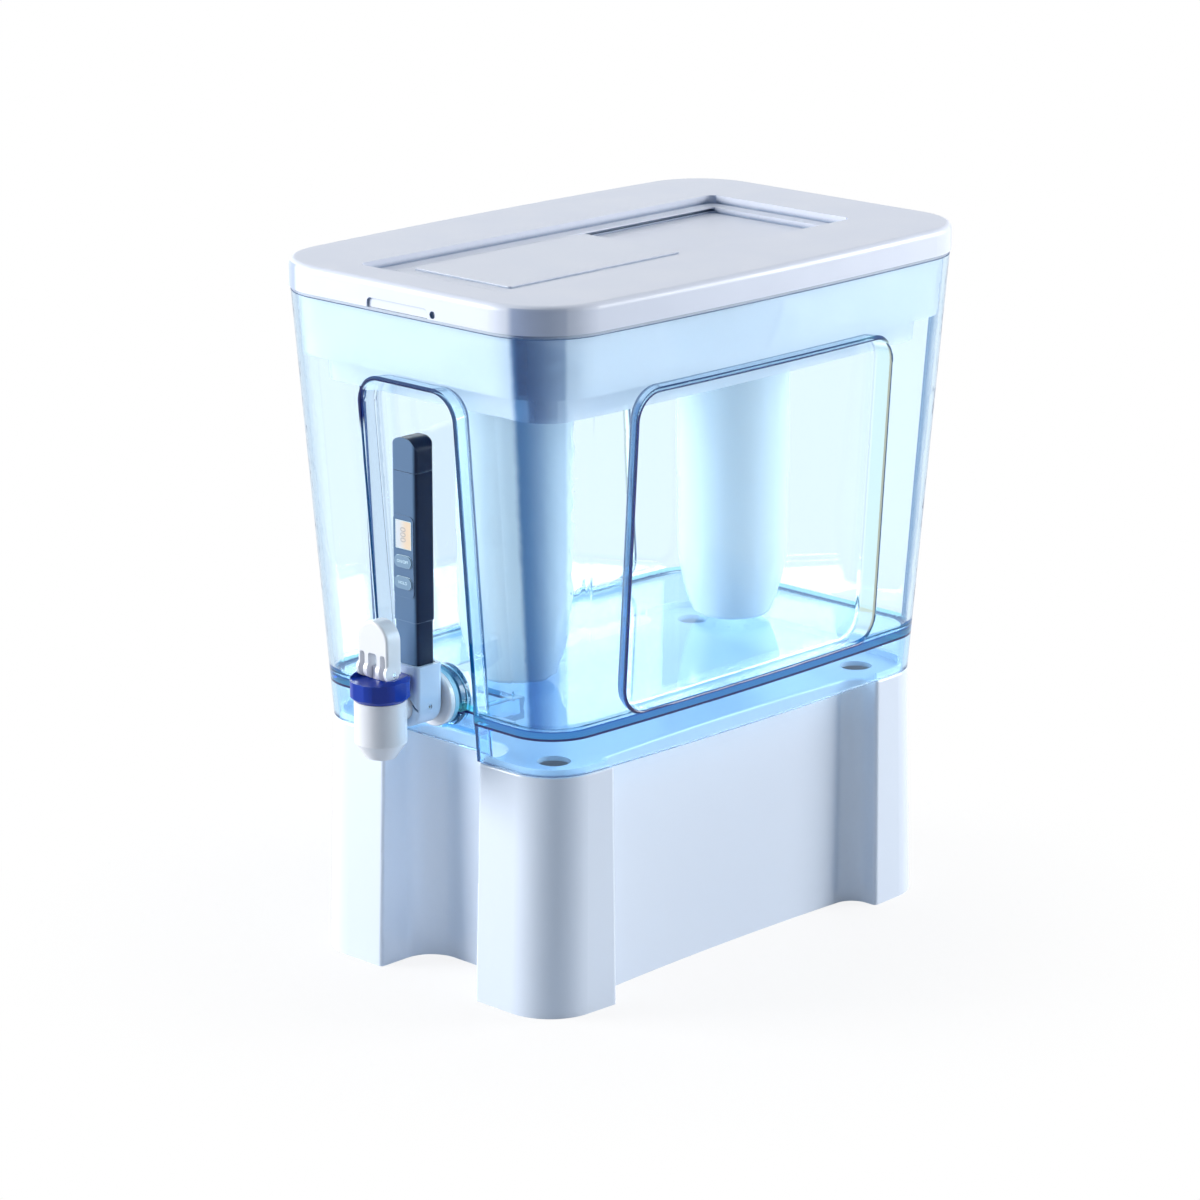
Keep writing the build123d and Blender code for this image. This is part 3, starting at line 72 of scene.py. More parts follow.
@dataclass
class Wiring:
    """Adds nodes and links to one node tree."""

    tree: bpy.types.NodeTree

    @classmethod
    def fresh(cls, owner: bpy.types.Material | bpy.types.World) -> "Wiring":
        """Empties the node tree of a material or a world."""
        owner.use_nodes = True
        owner.node_tree.nodes.clear()
        return cls(owner.node_tree)

    def add(self, kind: str, sockets: dict[Any, Any] | None = None, **settings: Any) -> bpy.types.Node:
        """Adds one node.

        Args:
            kind: The node's type name.
            sockets: Values or output sockets, by the name or number of their input.
            **settings: The node's own settings.

        Returns:
            The new node.
        """
        node = self.tree.nodes.new(kind)
        for name, value in settings.items():
            setattr(node, name, value)
        self.feed(node, sockets or {})
        return node

    def feed(self, node: bpy.types.Node, sockets: dict[Any, Any]) -> None:
        """Gives a node's inputs their values or links, by name or number."""
        for name, value in sockets.items():
            self.plug(node.inputs[name], value)

    def plug(self, socket: bpy.types.NodeSocket, value: Any) -> None:
        """Links an output to the socket, or sets the socket's own number, colour or vector."""
        if isinstance(value, bpy.types.NodeSocket):
            self.tree.links.new(value, socket)
        elif socket.type == "RGBA" and len(value) == 3:
            socket.default_value = (*value, 1.0)
        else:
            socket.default_value = value

    def texture(self, kind: str) -> bpy.types.NodeSocket:
        """One texture coordinate, such as Object or Normal."""
        return self.add("ShaderNodeTexCoord").outputs[kind]

    def parts(self, kind: str) -> Any:
        """The X, Y and Z outputs of one texture coordinate."""
        return self.add("ShaderNodeSeparateXYZ", {"Vector": self.texture(kind)}).outputs

    def noise(self, coordinates: Any, scale: Any, detail: float = 2.0) -> bpy.types.NodeSocket:
        """A noise texture round 0.5, of so many repeats in a metre and so many finer layers."""
        sockets = {"Vector": coordinates, "Scale": scale, "Detail": detail, "Roughness": 0.5}
        return self.add("ShaderNodeTexNoise", sockets).outputs["Fac"]

    def spread(self, value: Any, low: Any, high: Any, start: float = 0.3, end: float = 0.7) -> Any:
        """Maps a mask smoothly onto a range: low at start and below, high at end and above."""
        sockets = {"Value": value, "From Min": start, "From Max": end, "To Min": low, "To Max": high}
        node = self.add("ShaderNodeMapRange", sockets, interpolation_type="SMOOTHSTEP")
        return node.outputs["Result"]

    def mix(self, mask: Any, first: Any, second: Any) -> bpy.types.NodeSocket:
        """Mixes two colours: mask 0 gives the first and 1 the second."""
        return self.add("ShaderNodeMix", {0: mask, 6: first, 7: second}, data_type="RGBA").outputs[2]

    def blend(self, mask: Any, first: bpy.types.Node, second: bpy.types.Node) -> bpy.types.NodeSocket:
        """Mixes two shaders: mask 0 gives the first and 1 the second."""
        sockets = {0: mask, 1: first.outputs[0], 2: second.outputs[0]}
        return self.add("ShaderNodeMixShader", sockets).outputs[0]

    def compute(self, operation: str, *values: Any) -> bpy.types.NodeSocket:
        """The result of a Math node on its operands, in order."""
        return self.add("ShaderNodeMath", dict(enumerate(values)), operation=operation).outputs[0]


class SocketKind(Enum):
    """Kinds of socket on a shared group."""

    NUMBER = "NodeSocketFloat"
    COLOUR = "NodeSocketColor"


Sockets = tuple[tuple[str, SocketKind], ...]


def numbers(*names: str) -> Sockets:
    """The number sockets of a shared group."""
    return tuple((name, SocketKind.NUMBER) for name in names)


def colours(*names: str) -> Sockets:
    """The colour sockets of a shared group."""
    return tuple((name, SocketKind.COLOUR) for name in names)


@dataclass(frozen=True)
class SharedGroup:
    """A shader node group that several finishes share, built once."""

    name: str = ""
    inputs: Sockets = ()
    outputs: Sockets = numbers("Mask")

    def wire(self, wiring: Wiring, entry: bpy.types.Node) -> dict[str, Any]:
        """Builds the group's inside and returns its results by output name."""
        raise NotImplementedError

    def place(self, wiring: Wiring, sockets: dict[str, Any]) -> bpy.types.Node:
        """Places the group in a material, with values or outputs for its inputs."""
        node = wiring.add("ShaderNodeGroup", node_tree=self.build())
        wiring.feed(node, sockets)
        return node

    def build(self) -> bpy.types.NodeTree:
        """Makes the group's tree, or finds the one made before."""
        made = bpy.data.node_groups.get(self.name)
        if made:
            return made
        tree = bpy.data.node_groups.new(self.name, "ShaderNodeTree")
        for name, kind in self.inputs:
            tree.interface.new_socket(name=name, in_out="INPUT", socket_type=kind.value)
        for name, kind in self.outputs:
            tree.interface.new_socket(name=name, in_out="OUTPUT", socket_type=kind.value)
        wiring = Wiring(tree)
        results = self.wire(wiring, wiring.add("NodeGroupInput"))
        wiring.add("NodeGroupOutput", results)
        return tree


@dataclass(frozen=True)
class MouldSkin(SharedGroup):
    """Surface of a moulded plastic: a slow drift of shade, patches of gloss and fine orange peel."""

    name: str = "mould_skin"
    finer: float = 4.0
    inputs: Sockets = (
        *colours("Colour", "Drift Colour"),
        *numbers("Drift Scale", "Dull", "Gloss", "Peel Scale"),
    )
    outputs: Sockets = colours("Colour") + numbers("Roughness", "Height")

    def wire(self, wiring: Wiring, entry: bpy.types.Node) -> dict[str, Any]:
        """Builds the drift, gloss and peel from object coordinates."""
        given = entry.outputs
        place = wiring.texture("Object")
        drift = wiring.spread(wiring.noise(place, given["Drift Scale"]), 0.0, 1.0)
        gloss_scale = wiring.compute("MULTIPLY", given["Drift Scale"], self.finer)
        patches = wiring.noise(place, gloss_scale, 4.0)
        return {
            "Colour": wiring.mix(drift, given["Colour"], given["Drift Colour"]),
            "Roughness": wiring.spread(patches, given["Gloss"], given["Dull"]),
            "Height": wiring.noise(place, given["Peel Scale"], 1.0),
        }


@dataclass(frozen=True)
class EdgeWearAndHighlight(SharedGroup):
    """Rubbed edges that also carry a painted highlight, broken up by small nicks."""

    name: str = "edge_wear_and_highlight"
    inputs: Sockets = numbers("Nick Scale", "Reach")

    def wire(self, wiring: Wiring, entry: bpy.types.Node) -> dict[str, Any]:
        """Builds the mask from how far a rounded normal leans from the face's own."""
        place = wiring.texture("Object")
        own = wiring.add("ShaderNodeNewGeometry").outputs["Normal"]
        rounded = wiring.add("ShaderNodeBevel", {"Radius": entry.outputs["Reach"]}, samples=4)
        sockets = {0: own, 1: rounded.outputs["Normal"]}
        match = wiring.add("ShaderNodeVectorMath", sockets, operation="DOT_PRODUCT").outputs["Value"]
        edge = wiring.spread(match, 1.0, 0.0, start=0.85, end=0.99)
        nicks = wiring.spread(wiring.noise(place, entry.outputs["Nick Scale"], 3.0), 0.25, 1.0)
        return {"Mask": wiring.compute("MULTIPLY", edge, nicks)}


@dataclass(frozen=True)
class SettledDust(SharedGroup):
    """A thin film that lies thicker on faces that look up."""

    name: str = "settled_dust"
    inputs: Sockets = numbers("Patch Scale")

    def wire(self, wiring: Wiring, entry: bpy.types.Node) -> dict[str, Any]:
        """Builds the mask from the surface's upward part and soft patches."""
        upward = wiring.spread(wiring.parts("Normal")["Z"], 0.0, 1.0, start=0.5, end=1.0)
        scale = entry.outputs["Patch Scale"]
        patches = wiring.spread(wiring.noise(wiring.texture("Object"), scale, 5.0), 0.2, 1.0)
        return {"Mask": wiring.compute("MULTIPLY", upward, patches)}


@dataclass(frozen=True)
class CornerPaintedShade(SharedGroup):
    """Painted shade of a rounded corner: it sets in soon after the end wall and fades to the long wall."""

    name: str = "corner_painted_shade"
    middle_share: float = 0.35
    lean_fade: tuple[float, float] = (0.5, 0.7)
    inputs: Sockets = numbers("Start", "Full", "Fade", "End")

    def wire(self, wiring: Wiring, entry: bpy.types.Node) -> dict[str, Any]:
        """Builds the mask from the angle between the level normal and the end wall's."""
        split = wiring.parts("Normal")
        turned = wiring.compute("ABSOLUTE", split["X"])
        facing = wiring.compute("ABSOLUTE", split["Y"])
        angle = wiring.compute("DEGREES", wiring.compute("ARCTAN2", turned, facing))
        upright = wiring.spread(wiring.compute("ABSOLUTE", split["Z"]), 1.0, 0.0, *self.lean_fade)
        given = entry.outputs
        rising = wiring.spread(angle, 0.0, 1.0, given["Start"], given["Full"])
        fading = wiring.spread(angle, 1.0, self.middle_share, given["Full"], given["Fade"])
        ending = wiring.spread(angle, 1.0, 0.0, given["Fade"], given["End"])
        shade = wiring.compute("MULTIPLY", wiring.compute("MULTIPLY", rising, fading), ending)
        return {"Mask": wiring.compute("MULTIPLY", shade, upright)}


@dataclass(frozen=True)
class StepLine(SharedGroup):
    """A painted dark line, in place of the dark refraction that a clear wall shows along the rounded outline
    of a sunk panel.
    """

    name: str = "step_line"
    inputs: Sockets = numbers("Along", "Level", "Half Length", "Half Height", "Corner", "Half Width")

    def wire(self, wiring: Wiring, entry: bpy.types.Node) -> dict[str, Any]:
        """Builds the mask from the distance to a rounded rectangle."""
        given = entry.outputs
        beyond = []
        for place, half in (("Along", "Half Length"), ("Level", "Half Height")):
            straight = wiring.compute("SUBTRACT", given[half], given["Corner"])
            beyond.append(wiring.compute("SUBTRACT", wiring.compute("ABSOLUTE", given[place]), straight))
        outer = [wiring.compute("MAXIMUM", value, 0.0) for value in beyond]
        squares = [wiring.compute("MULTIPLY", value, value) for value in outer]
        round_part = wiring.compute("SQRT", wiring.compute("ADD", *squares))
        inner = wiring.compute("MINIMUM", wiring.compute("MAXIMUM", *beyond), 0.0)
        reach = wiring.compute("ADD", round_part, inner)
        away = wiring.compute("ABSOLUTE", wiring.compute("SUBTRACT", reach, given["Corner"]))
        edge = wiring.compute("MULTIPLY", given["Half Width"], 1.4)
        return {"Mask": wiring.spread(away, 1.0, 0.0, given["Half Width"], edge)}


@dataclass(frozen=True)
class Crevice(SharedGroup):
    """Painted shade that gathers where two faces meet in a hollow corner."""

    name: str = "crevice_shade"
    inputs: Sockets = numbers("Reach")

    def wire(self, wiring: Wiring, entry: bpy.types.Node) -> dict[str, Any]:
        """Builds the mask from how much of its surroundings a point sees."""
        sockets = {"Distance": entry.outputs["Reach"]}
        opening = wiring.add("ShaderNodeAmbientOcclusion", sockets, samples=8, only_local=True)
        return {"Mask": wiring.spread(opening.outputs["AO"], 1.0, 0.0, start=0.45, end=0.85)}


MOULD_SKIN = MouldSkin()
EDGE_WEAR_AND_HIGHLIGHT = EdgeWearAndHighlight()
SETTLED_DUST = SettledDust()
CORNER_PAINTED_SHADE = CornerPaintedShade()
STEP_LINE = StepLine()
CREVICE = Crevice()


# ---------------------------------------------------------------- finishes


@dataclass(frozen=True)
class Finish:
    """What every finish has: a name and a way to make its material."""

    name: str

    def material(self) -> bpy.types.Material:
        """Makes the material, or finds the one made before."""
        made = bpy.data.materials.get(self.name)
        if made:
            return made
        made = bpy.data.materials.new(self.name)
        wiring = Wiring.fresh(made)
        shader = wiring.add("ShaderNodeBsdfPrincipled")
        output = wiring.add("ShaderNodeOutputMaterial", {"Surface": shader.outputs[0]})
        self.wire(wiring, shader, output)
        return made

    def wire(self, wiring: Wiring, shader: bpy.types.Node, output: bpy.types.Node) -> None:
        """Sets the shader's sockets for this finish."""
        raise NotImplementedError

    def relief(self, wiring: Wiring, shader: bpy.types.Node, height: Any, depth: float) -> None:
        """Feeds a height to the shader's normal, with its depth in metres."""
        sockets = {"Height": height, "Distance": depth, "Strength": 1.0}
        bump = wiring.add("ShaderNodeBump", sockets)
        wiring.plug(shader.inputs["Normal"], bump.outputs["Normal"])


@dataclass(frozen=True)
class PaintedCornerShade:
    """Where the painted shade of a rounded corner lies, in degrees from the end wall's normal.

    The corners on the -X side show only far_share of it, and the change takes far_blend each way.
    """

    # the colour of the painted shade
    tint: Colour
    start: float = 15.0
    full: float = 22.0
    fade: float = 59.0
    end: float = 63.0
    far_share: float = 0.3
    far_blend: float = 40.0 * MM

    def with_painted_shade(self, wiring: Wiring, colour: Any) -> bpy.types.NodeSocket:
        """Mixes the corner's painted shade into the colour of the flat walls."""
        sockets = {"Start": self.start, "Full": self.full, "Fade": self.fade, "End": self.end}
        turn = CORNER_PAINTED_SHADE.place(wiring, sockets)
        side = wiring.parts("Object")["X"]
        share = wiring.spread(side, self.far_share, 1.0, -self.far_blend, self.far_blend)
        mask = wiring.compute("MULTIPLY", turn.outputs["Mask"], share)
        return wiring.mix(mask, colour, self.tint)


@dataclass(frozen=True)
class MouldedPlastic(Finish):
    """An opaque moulded plastic with orange peel, edges that carry wear and a painted highlight, a little
    dust, painted shade in hollows and corners and, on some, a painted lighter front.
    """

    colour: Colour = (0.8, 0.8, 0.8)
    drift: Colour = (0.8, 0.8, 0.8)
    worn_and_lit: Colour = (0.9, 0.9, 0.9)
    drift_scale: float = 9.0
    gloss: float = 0.3
    dull: float = 0.38
    peel_scale: float = 420.0
    peel_depth: float = 0.000003
    coat: float = 0.0
    dust: float = 0.1
    rub_and_highlight: float = 0.5
    edge_reach: float = 0.0006
    shine: float = 0.5
    front: Colour | None = None
    crevice_shade: Colour | None = None
    crevice_reach: float = 0.005
    corner: PaintedCornerShade | None = None
    nick_scale: float = 180.0
    dust_scale: float = 35.0
    dust_rough: float = 0.3
    coat_rough: float = 0.08
    front_full: float = -0.95
    front_gone: float = -0.6

    def wire(self, wiring: Wiring, shader: bpy.types.Node, output: bpy.types.Node) -> None:
        """Layers the skin, the edges with their wear and painted highlight, the dust and the painted light
        and shade on the shader.
        """
        tones = {"Colour": self.colour, "Drift Colour": self.drift, "Drift Scale": self.drift_scale}
        sheen = {"Gloss": self.gloss, "Dull": self.dull, "Peel Scale": self.peel_scale}
        skin = MOULD_SKIN.place(wiring, tones | sheen)
        wear = EDGE_WEAR_AND_HIGHLIGHT.place(wiring, {"Nick Scale": self.nick_scale, "Reach": self.edge_reach})
        dust = SETTLED_DUST.place(wiring, {"Patch Scale": self.dust_scale})
        film = wiring.compute("MULTIPLY", dust.outputs["Mask"], self.dust)
        rubbed_and_lit = wiring.compute("MULTIPLY", wear.outputs["Mask"], self.rub_and_highlight)
        colour = skin.outputs["Colour"]
        # painted light: faces that look towards -Y get the lighter front colour, which stands in for a lamp's
        # reflection on the face
        if self.front:
            facing = wiring.parts("Normal")["Y"]
            share = wiring.spread(facing, 1.0, 0.0, self.front_full, self.front_gone)
            colour = wiring.mix(share, colour, self.front)
        # painted shade in the hollow corners
        if self.crevice_shade:
            hollow = CREVICE.place(wiring, {"Reach": self.crevice_reach})
            colour = wiring.mix(hollow.outputs["Mask"], colour, self.crevice_shade)
        # the edge colour is partly wear and partly a painted highlight along the edges
        worn_and_lit = wiring.mix(rubbed_and_lit, colour, self.worn_and_lit)
        # painted shade in the rounded corners
        if self.corner:
            worn_and_lit = self.corner.with_painted_shade(wiring, worn_and_lit)
        dusty = wiring.compute("MULTIPLY", film, self.dust_rough)
        rough = wiring.compute("ADD", skin.outputs["Roughness"], dusty)
        wiring.feed(shader, {"Base Color": worn_and_lit, "Roughness": rough, "Specular IOR Level": self.shine})
        wiring.feed(shader, {"Coat Weight": self.coat, "Coat Roughness": self.coat_rough})
        self.relief(wiring, shader, skin.outputs["Height"], self.peel_depth)


@dataclass(frozen=True)
class VeiledPlastic(MouldedPlastic):
    """A milky moulded plastic that lets some of what lies behind it show."""

    alpha: float = 0.8
    veil_scale: float = 14.0
    veil_drift: float = 0.02

    def wire(self, wiring: Wiring, shader: bpy.types.Node, output: bpy.types.Node) -> None:
        """Adds the veil to the moulded plastic."""
        super().wire(wiring, shader, output)
        cloud = wiring.noise(wiring.texture("Object"), self.veil_scale)
        veil = wiring.spread(cloud, self.alpha - self.veil_drift, self.alpha + self.veil_drift)
        wiring.plug(shader.inputs["Alpha"], veil)


class Part(Enum):
    """One of the three parts of a place."""

    X = "X"
    Y = "Y"
    Z = "Z"


@dataclass(frozen=True)
class SunkPanel:
    """The outline of a panel sunk in a leaning wall, round which a painted dark line runs.

    The wall stands at wall_foot from the middle at the body's foot and leans out by wall_slope. The line
    lies within line_depth of the wall's face, and it dies out along one part of its place.
    """

    across: Part
    through: Part
    middle: Vector
    length: float
    height: float
    corner: float
    wall_foot: float
    wall_slope: float
    fade_part: Part
    fade_from: float
    fade_to: float
    both_walls: bool = True
    line_depth: float = 0.0025

    def line(self, wiring: Wiring, parts: Any, foot: float, half_width: float) -> bpy.types.NodeSocket:
        """Masks the painted dark line round the panel.

        Args:
            wiring: The material's tree.
            parts: The outputs of the place's three parts.
            foot: The level of the body's foot.
            half_width: Half of the line's width.

        Returns:
            The mask's socket.
        """
        offsets = {
            part: wiring.compute("SUBTRACT", parts[part.value], getattr(self.middle, part.value.lower()))
            for part in Part
        }
        sockets = {
            "Along": offsets[self.across],
            "Level": offsets[Part.Z],
            "Half Length": self.length / 2,
            "Half Height": self.height / 2,
            "Corner": self.corner,
            "Half Width": half_width,
        }
        found = STEP_LINE.place(wiring, sockets).outputs["Mask"]
        out = offsets[self.through]
        out = wiring.compute("ABSOLUTE", out) if self.both_walls else wiring.compute("MULTIPLY", out, -1.0)
        reach = self.wall_foot - self.wall_slope * foot
        wall = wiring.compute("MULTIPLY_ADD", parts["Z"], self.wall_slope, reach)
        depth = wiring.compute("SUBTRACT", wall, out)
        near = wiring.spread(depth, 1.0, 0.0, self.line_depth, 1.4 * self.line_depth)
        kept = wiring.spread(offsets[self.fade_part], 1.0, 0.0, self.fade_from, self.fade_to)
        return wiring.compute("MULTIPLY", found, wiring.compute("MULTIPLY", near, kept))


@dataclass(frozen=True)
class ClearPlastic(Finish):
    """A clear moulding with a tint: painted shade in the corners and at grazing angles, painted dark step
    lines, and a tint that grows with thickness.

    The glow colours stand in for light that the wall carries along inside itself.
    """

    tint: Colour = (0.985, 0.996, 1.0)
    # painted shade in the rounded corners of the wall
    corner: PaintedCornerShade = PaintedCornerShade((0.11, 0.25, 0.45))
    skirt_tint: Colour = (0.70, 0.86, 0.98)
    slab_tint: Colour = (0.26, 0.78, 0.96)
    line_shade: Colour = (0.0001, 0.0006, 0.012)
    slab_low: float = 0.170
    slab_high: float = 0.174
    slab_line: float = 0.0006
    foot_share: float = 0.6
    panels: tuple[SunkPanel, ...] = ()
    panel_line: float = 0.0011
    foot: float = 0.147
    shadow_tint: Colour = (0.78, 0.77, 0.77)
    grazing_shade: Colour = (0.03, 0.16, 0.36)
    edge_start: float = 0.82
    edge_end: float = 0.97
    wall_glow: Colour = (0.01, 0.24, 0.70)
    slab_glow: Colour = (0.0, 0.75, 2.0)
    band_glow: Colour = (0.6, 2.6, 2.4)
    line_glow: Colour = (0.0, 0.02, 1.2)
    step_glow: Colour = (11.0, 11.5, 7.5)
    step_place: float = 0.129
    step_out: float = 0.088
    step_blend: float = 3.0 * MM
    step_reach: float = 12.0 * MM
    step_fade: float = 16.0 * MM
    step_facing: tuple[float, float] = (-0.9, -0.5)
    upright_fade: tuple[float, float] = (0.5, 0.8)
    glow_strength: float = 0.04
    depth_colour: Colour = (0.18, 0.76, 0.985)
    density: float = 36.0
    ior: float = 1.49
    ripple: float = 0.000006
    ripple_scale: float = 18.0
    haze: float = 0.015
    haze_scale: float = 60.0

    def wire(self, wiring: Wiring, shader: bpy.types.Node, output: bpy.types.Node) -> None:
        """Sets the glass, its tints, its painted shade, dark lines and glows, its ripples and its depth of
        colour.
        """
        place = wiring.texture("Object")
        parts = wiring.parts("Object")
        level = parts["Z"]
        above = wiring.spread(level, 0.0, 1.0, self.slab_low, self.slab_high)
        colour = wiring.mix(above, self.skirt_tint, self.corner.with_painted_shade(wiring, self.tint))
        upright = self.upright(wiring)
        band = wiring.compute("MULTIPLY", self.slab(wiring, level), upright)
        colour = wiring.mix(band, colour, self.slab_tint)
        # painted shade at grazing angles, in place of the dark refraction along the silhouettes
        facing = wiring.add("ShaderNodeLayerWeight").outputs["Facing"]
        grazing = wiring.spread(facing, 0.0, 1.0, self.edge_start, self.edge_end)
        colour = wiring.mix(grazing, colour, self.grazing_shade)
        # painted dark lines, in place of the dark refraction at the lips, the floor's edge and the foot
        line = wiring.compute("MULTIPLY", self.lines(wiring, parts), upright)
        wiring.plug(shader.inputs["Base Color"], wiring.mix(line, colour, self.line_shade))
        glow = wiring.mix(self.slab(wiring, level), self.wall_glow, self.slab_glow)
        glow = wiring.mix(band, glow, self.band_glow)
        glow = wiring.mix(self.far_step(wiring, parts), glow, self.step_glow)
        wiring.plug(shader.inputs["Emission Color"], wiring.mix(line, glow, self.line_glow))
        hazy = wiring.spread(wiring.noise(place, self.haze_scale), 0.0, self.haze)
        wiring.feed(shader, {"Emission Strength": self.glow_strength, "Roughness": hazy})
        wiring.feed(shader, {"Transmission Weight": 1.0, "IOR": self.ior})
        self.relief(wiring, shader, wiring.noise(place, self.ripple_scale, 1.0), self.ripple)
        sockets = {"Color": self.depth_colour, "Density": self.density}
        absorption = wiring.add("ShaderNodeVolumeAbsorption", sockets)
        wiring.plug(output.inputs["Volume"], absorption.outputs["Volume"])
        self.let_lamps_through(wiring, shader, output)

    def let_lamps_through(self, wiring: Wiring, shader: bpy.types.Node, output: bpy.types.Node) -> None:
        """Lets the lamps reach what stands behind the wall."""
        lamp_ray = wiring.add("ShaderNodeLightPath").outputs["Is Shadow Ray"]
        clear = wiring.add("ShaderNodeBsdfTransparent", {"Color": self.shadow_tint})
        wiring.plug(output.inputs["Surface"], wiring.blend(lamp_ray, shader, clear))

    def slab(self, wiring: Wiring, level: Any) -> bpy.types.NodeSocket:
        """Masks the band where the floor's edge shows in the wall."""
        soft = self.slab_line
        over = wiring.spread(level, 0.0, 1.0, self.slab_low - soft, self.slab_low - soft / 2)
        under = wiring.spread(level, 1.0, 0.0, self.slab_high - soft, self.slab_high)
        return wiring.compute("MULTIPLY", over, under)

    def lines(self, wiring: Wiring, parts: Any) -> bpy.types.NodeSocket:
        """Masks the painted dark lines: under the floor's edge, at the foot and round the sunk panels."""
        found = self.level_line(wiring, parts["Z"], self.slab_low)
        at_foot = self.level_line(wiring, parts["Z"], self.foot)
        found = wiring.compute("MAXIMUM", found, wiring.compute("MULTIPLY", at_foot, self.foot_share))
        for panel in self.panels:
            line = panel.line(wiring, parts, self.foot, self.panel_line)
            found = wiring.compute("MAXIMUM", found, line)
        return found

    def level_line(self, wiring: Wiring, level: Any, height: float) -> bpy.types.NodeSocket:
        """Masks a line that runs round the body at one height."""
        away = wiring.compute("ABSOLUTE", wiring.compute("SUBTRACT", level, height))
        return wiring.spread(away, 1.0, 0.0, self.slab_line, 1.5 * self.slab_line)

    def far_step(self, wiring: Wiring, parts: Any) -> bpy.types.NodeSocket:
        """Masks the step at the rear end of the long walls' panels, which looks to the front and gets the
        brightest painted glow.
        """
        facing = wiring.parts("Normal")["Y"]
        looking = wiring.spread(facing, 1.0, 0.0, *self.step_facing)
        side = wiring.compute("ABSOLUTE", parts["X"])
        outer = wiring.spread(side, 0.0, 1.0, self.step_out, self.step_out + self.step_blend)
        away = wiring.compute("ABSOLUTE", wiring.compute("SUBTRACT", parts["Y"], self.step_place))
        near = wiring.spread(away, 1.0, 0.0, self.step_reach, self.step_fade)
        return wiring.compute("MULTIPLY", looking, wiring.compute("MULTIPLY", outer, near))

    def upright(self, wiring: Wiring) -> bpy.types.NodeSocket:
        """Masks the faces that stand, apart from those that look up or down."""
        lift = wiring.parts("Normal")["Z"]
        return wiring.spread(wiring.compute("ABSOLUTE", lift), 1.0, 0.0, *self.upright_fade)


@dataclass(frozen=True)
class TurnedMetal(Finish):
    """A drawn or turned steel with fine lines along one axis."""

    colour: Colour = (0.62, 0.63, 0.65)
    stretch: tuple[float, float, float] = (1.0, 1.0, 30.0)
    roughness: float = 0.24
    rough_below: float = 0.05
    rough_above: float = 0.02
    groove_share: float = 0.75
    mark_scale: float = 160.0
    mark_depth: float = 0.000004

    def wire(self, wiring: Wiring, shader: bpy.types.Node, output: bpy.types.Node) -> None:
        """Sets the metal and the lines left by the tool."""
        place = wiring.texture("Object")
        lines = wiring.add("ShaderNodeMapping", {"Vector": place, "Scale": self.stretch})
        marks = wiring.noise(lines.outputs["Vector"], self.mark_scale, 3.0)
        darker = tuple(self.groove_share * part for part in self.colour)
        wiring.plug(shader.inputs["Base Color"], wiring.mix(marks, darker, self.colour))
        low, high = self.roughness - self.rough_below, self.roughness + self.rough_above
        wiring.plug(shader.inputs["Roughness"], wiring.spread(marks, low, high))
        shader.inputs["Metallic"].default_value = 1.0
        self.relief(wiring, shader, marks, self.mark_depth)


@dataclass(frozen=True)
class LiquidCrystal(Finish):
    """The meter's display: a pale cell whose polariser warms towards one side."""

    cool: Colour = (0.62, 0.70, 0.78)
    warm: Colour = (0.80, 0.62, 0.44)
    middle: float = 0.0
    width: float = 12.0 * MM
    warm_share: float = 0.85
    cloud_share: float = 0.25
    cloud_scale: float = 300.0
    smear_scale: float = 500.0
    front_rough: float = 0.02
    smear_rough: tuple[float, float] = (0.1, 0.18)

    def wire(self, wiring: Wiring, shader: bpy.types.Node, output: bpy.types.Node) -> None:
        """Sets the cell's colour across its width, under a clear front."""
        place = wiring.texture("Object")
        start, end = self.middle - self.width / 3, self.middle + self.width / 4
        across = wiring.spread(wiring.parts("Object")["X"], 0.0, 1.0, start, end)
        cloud = wiring.compute("MULTIPLY", wiring.noise(place, self.cloud_scale), self.cloud_share)
        mask = wiring.compute("ADD", wiring.compute("MULTIPLY", across, self.warm_share), cloud)
        wiring.plug(shader.inputs["Base Color"], wiring.mix(mask, self.cool, self.warm))
        smears = wiring.spread(wiring.noise(place, self.smear_scale), *self.smear_rough)
        wiring.feed(shader, {"Roughness": smears, "Coat Weight": 1.0, "Coat Roughness": self.front_rough})


STAND_WHITE = MouldedPlastic(
    "stand_white_gloss",
    colour=(0.76, 0.83, 0.93),
    drift=(0.77, 0.84, 0.935),
    worn_and_lit=(0.82, 0.88, 0.95),
    gloss=0.16,
    dull=0.23,
    coat=0.3,
)
LID_WHITE = MouldedPlastic(
    "lid_white_satin",
    colour=(0.74, 0.78, 0.88),
    drift=(0.745, 0.785, 0.885),
    worn_and_lit=(0.80, 0.83, 0.90),
    peel_scale=600.0,
    peel_depth=0.000004,
    crevice_shade=(0.16, 0.24, 0.38),
    # painted shade in the lid's rounded corners
    corner=PaintedCornerShade((0.36, 0.43, 0.60), far_share=1.0),
)
DOOR_WHITE = MouldedPlastic(
    "door_white_satin",
    colour=(0.73, 0.77, 0.87),
    drift=(0.75, 0.79, 0.88),
    worn_and_lit=(0.92, 0.93, 0.96),
    rub_and_highlight=0.9,
    crevice_shade=(0.30, 0.38, 0.50),
    crevice_reach=0.003,
)
TRAY_PALE = VeiledPlastic(
    "tray_pale_periwinkle",
    colour=(0.78, 0.84, 0.93),
    drift=(0.77, 0.83, 0.92),
    worn_and_lit=(0.84, 0.90, 0.96),
    # painted shade in the tray's rounded corners
    corner=PaintedCornerShade((0.17, 0.24, 0.42)),
    alpha=0.5,
)
FILTER_BLUE = MouldedPlastic(
    "filter_pale_blue",
    colour=(0.63, 0.74, 0.80),
    drift=(0.65, 0.75, 0.81),
    worn_and_lit=(0.74, 0.82, 0.88),
    gloss=0.16,
    dull=0.24,
    coat=0.3,
)
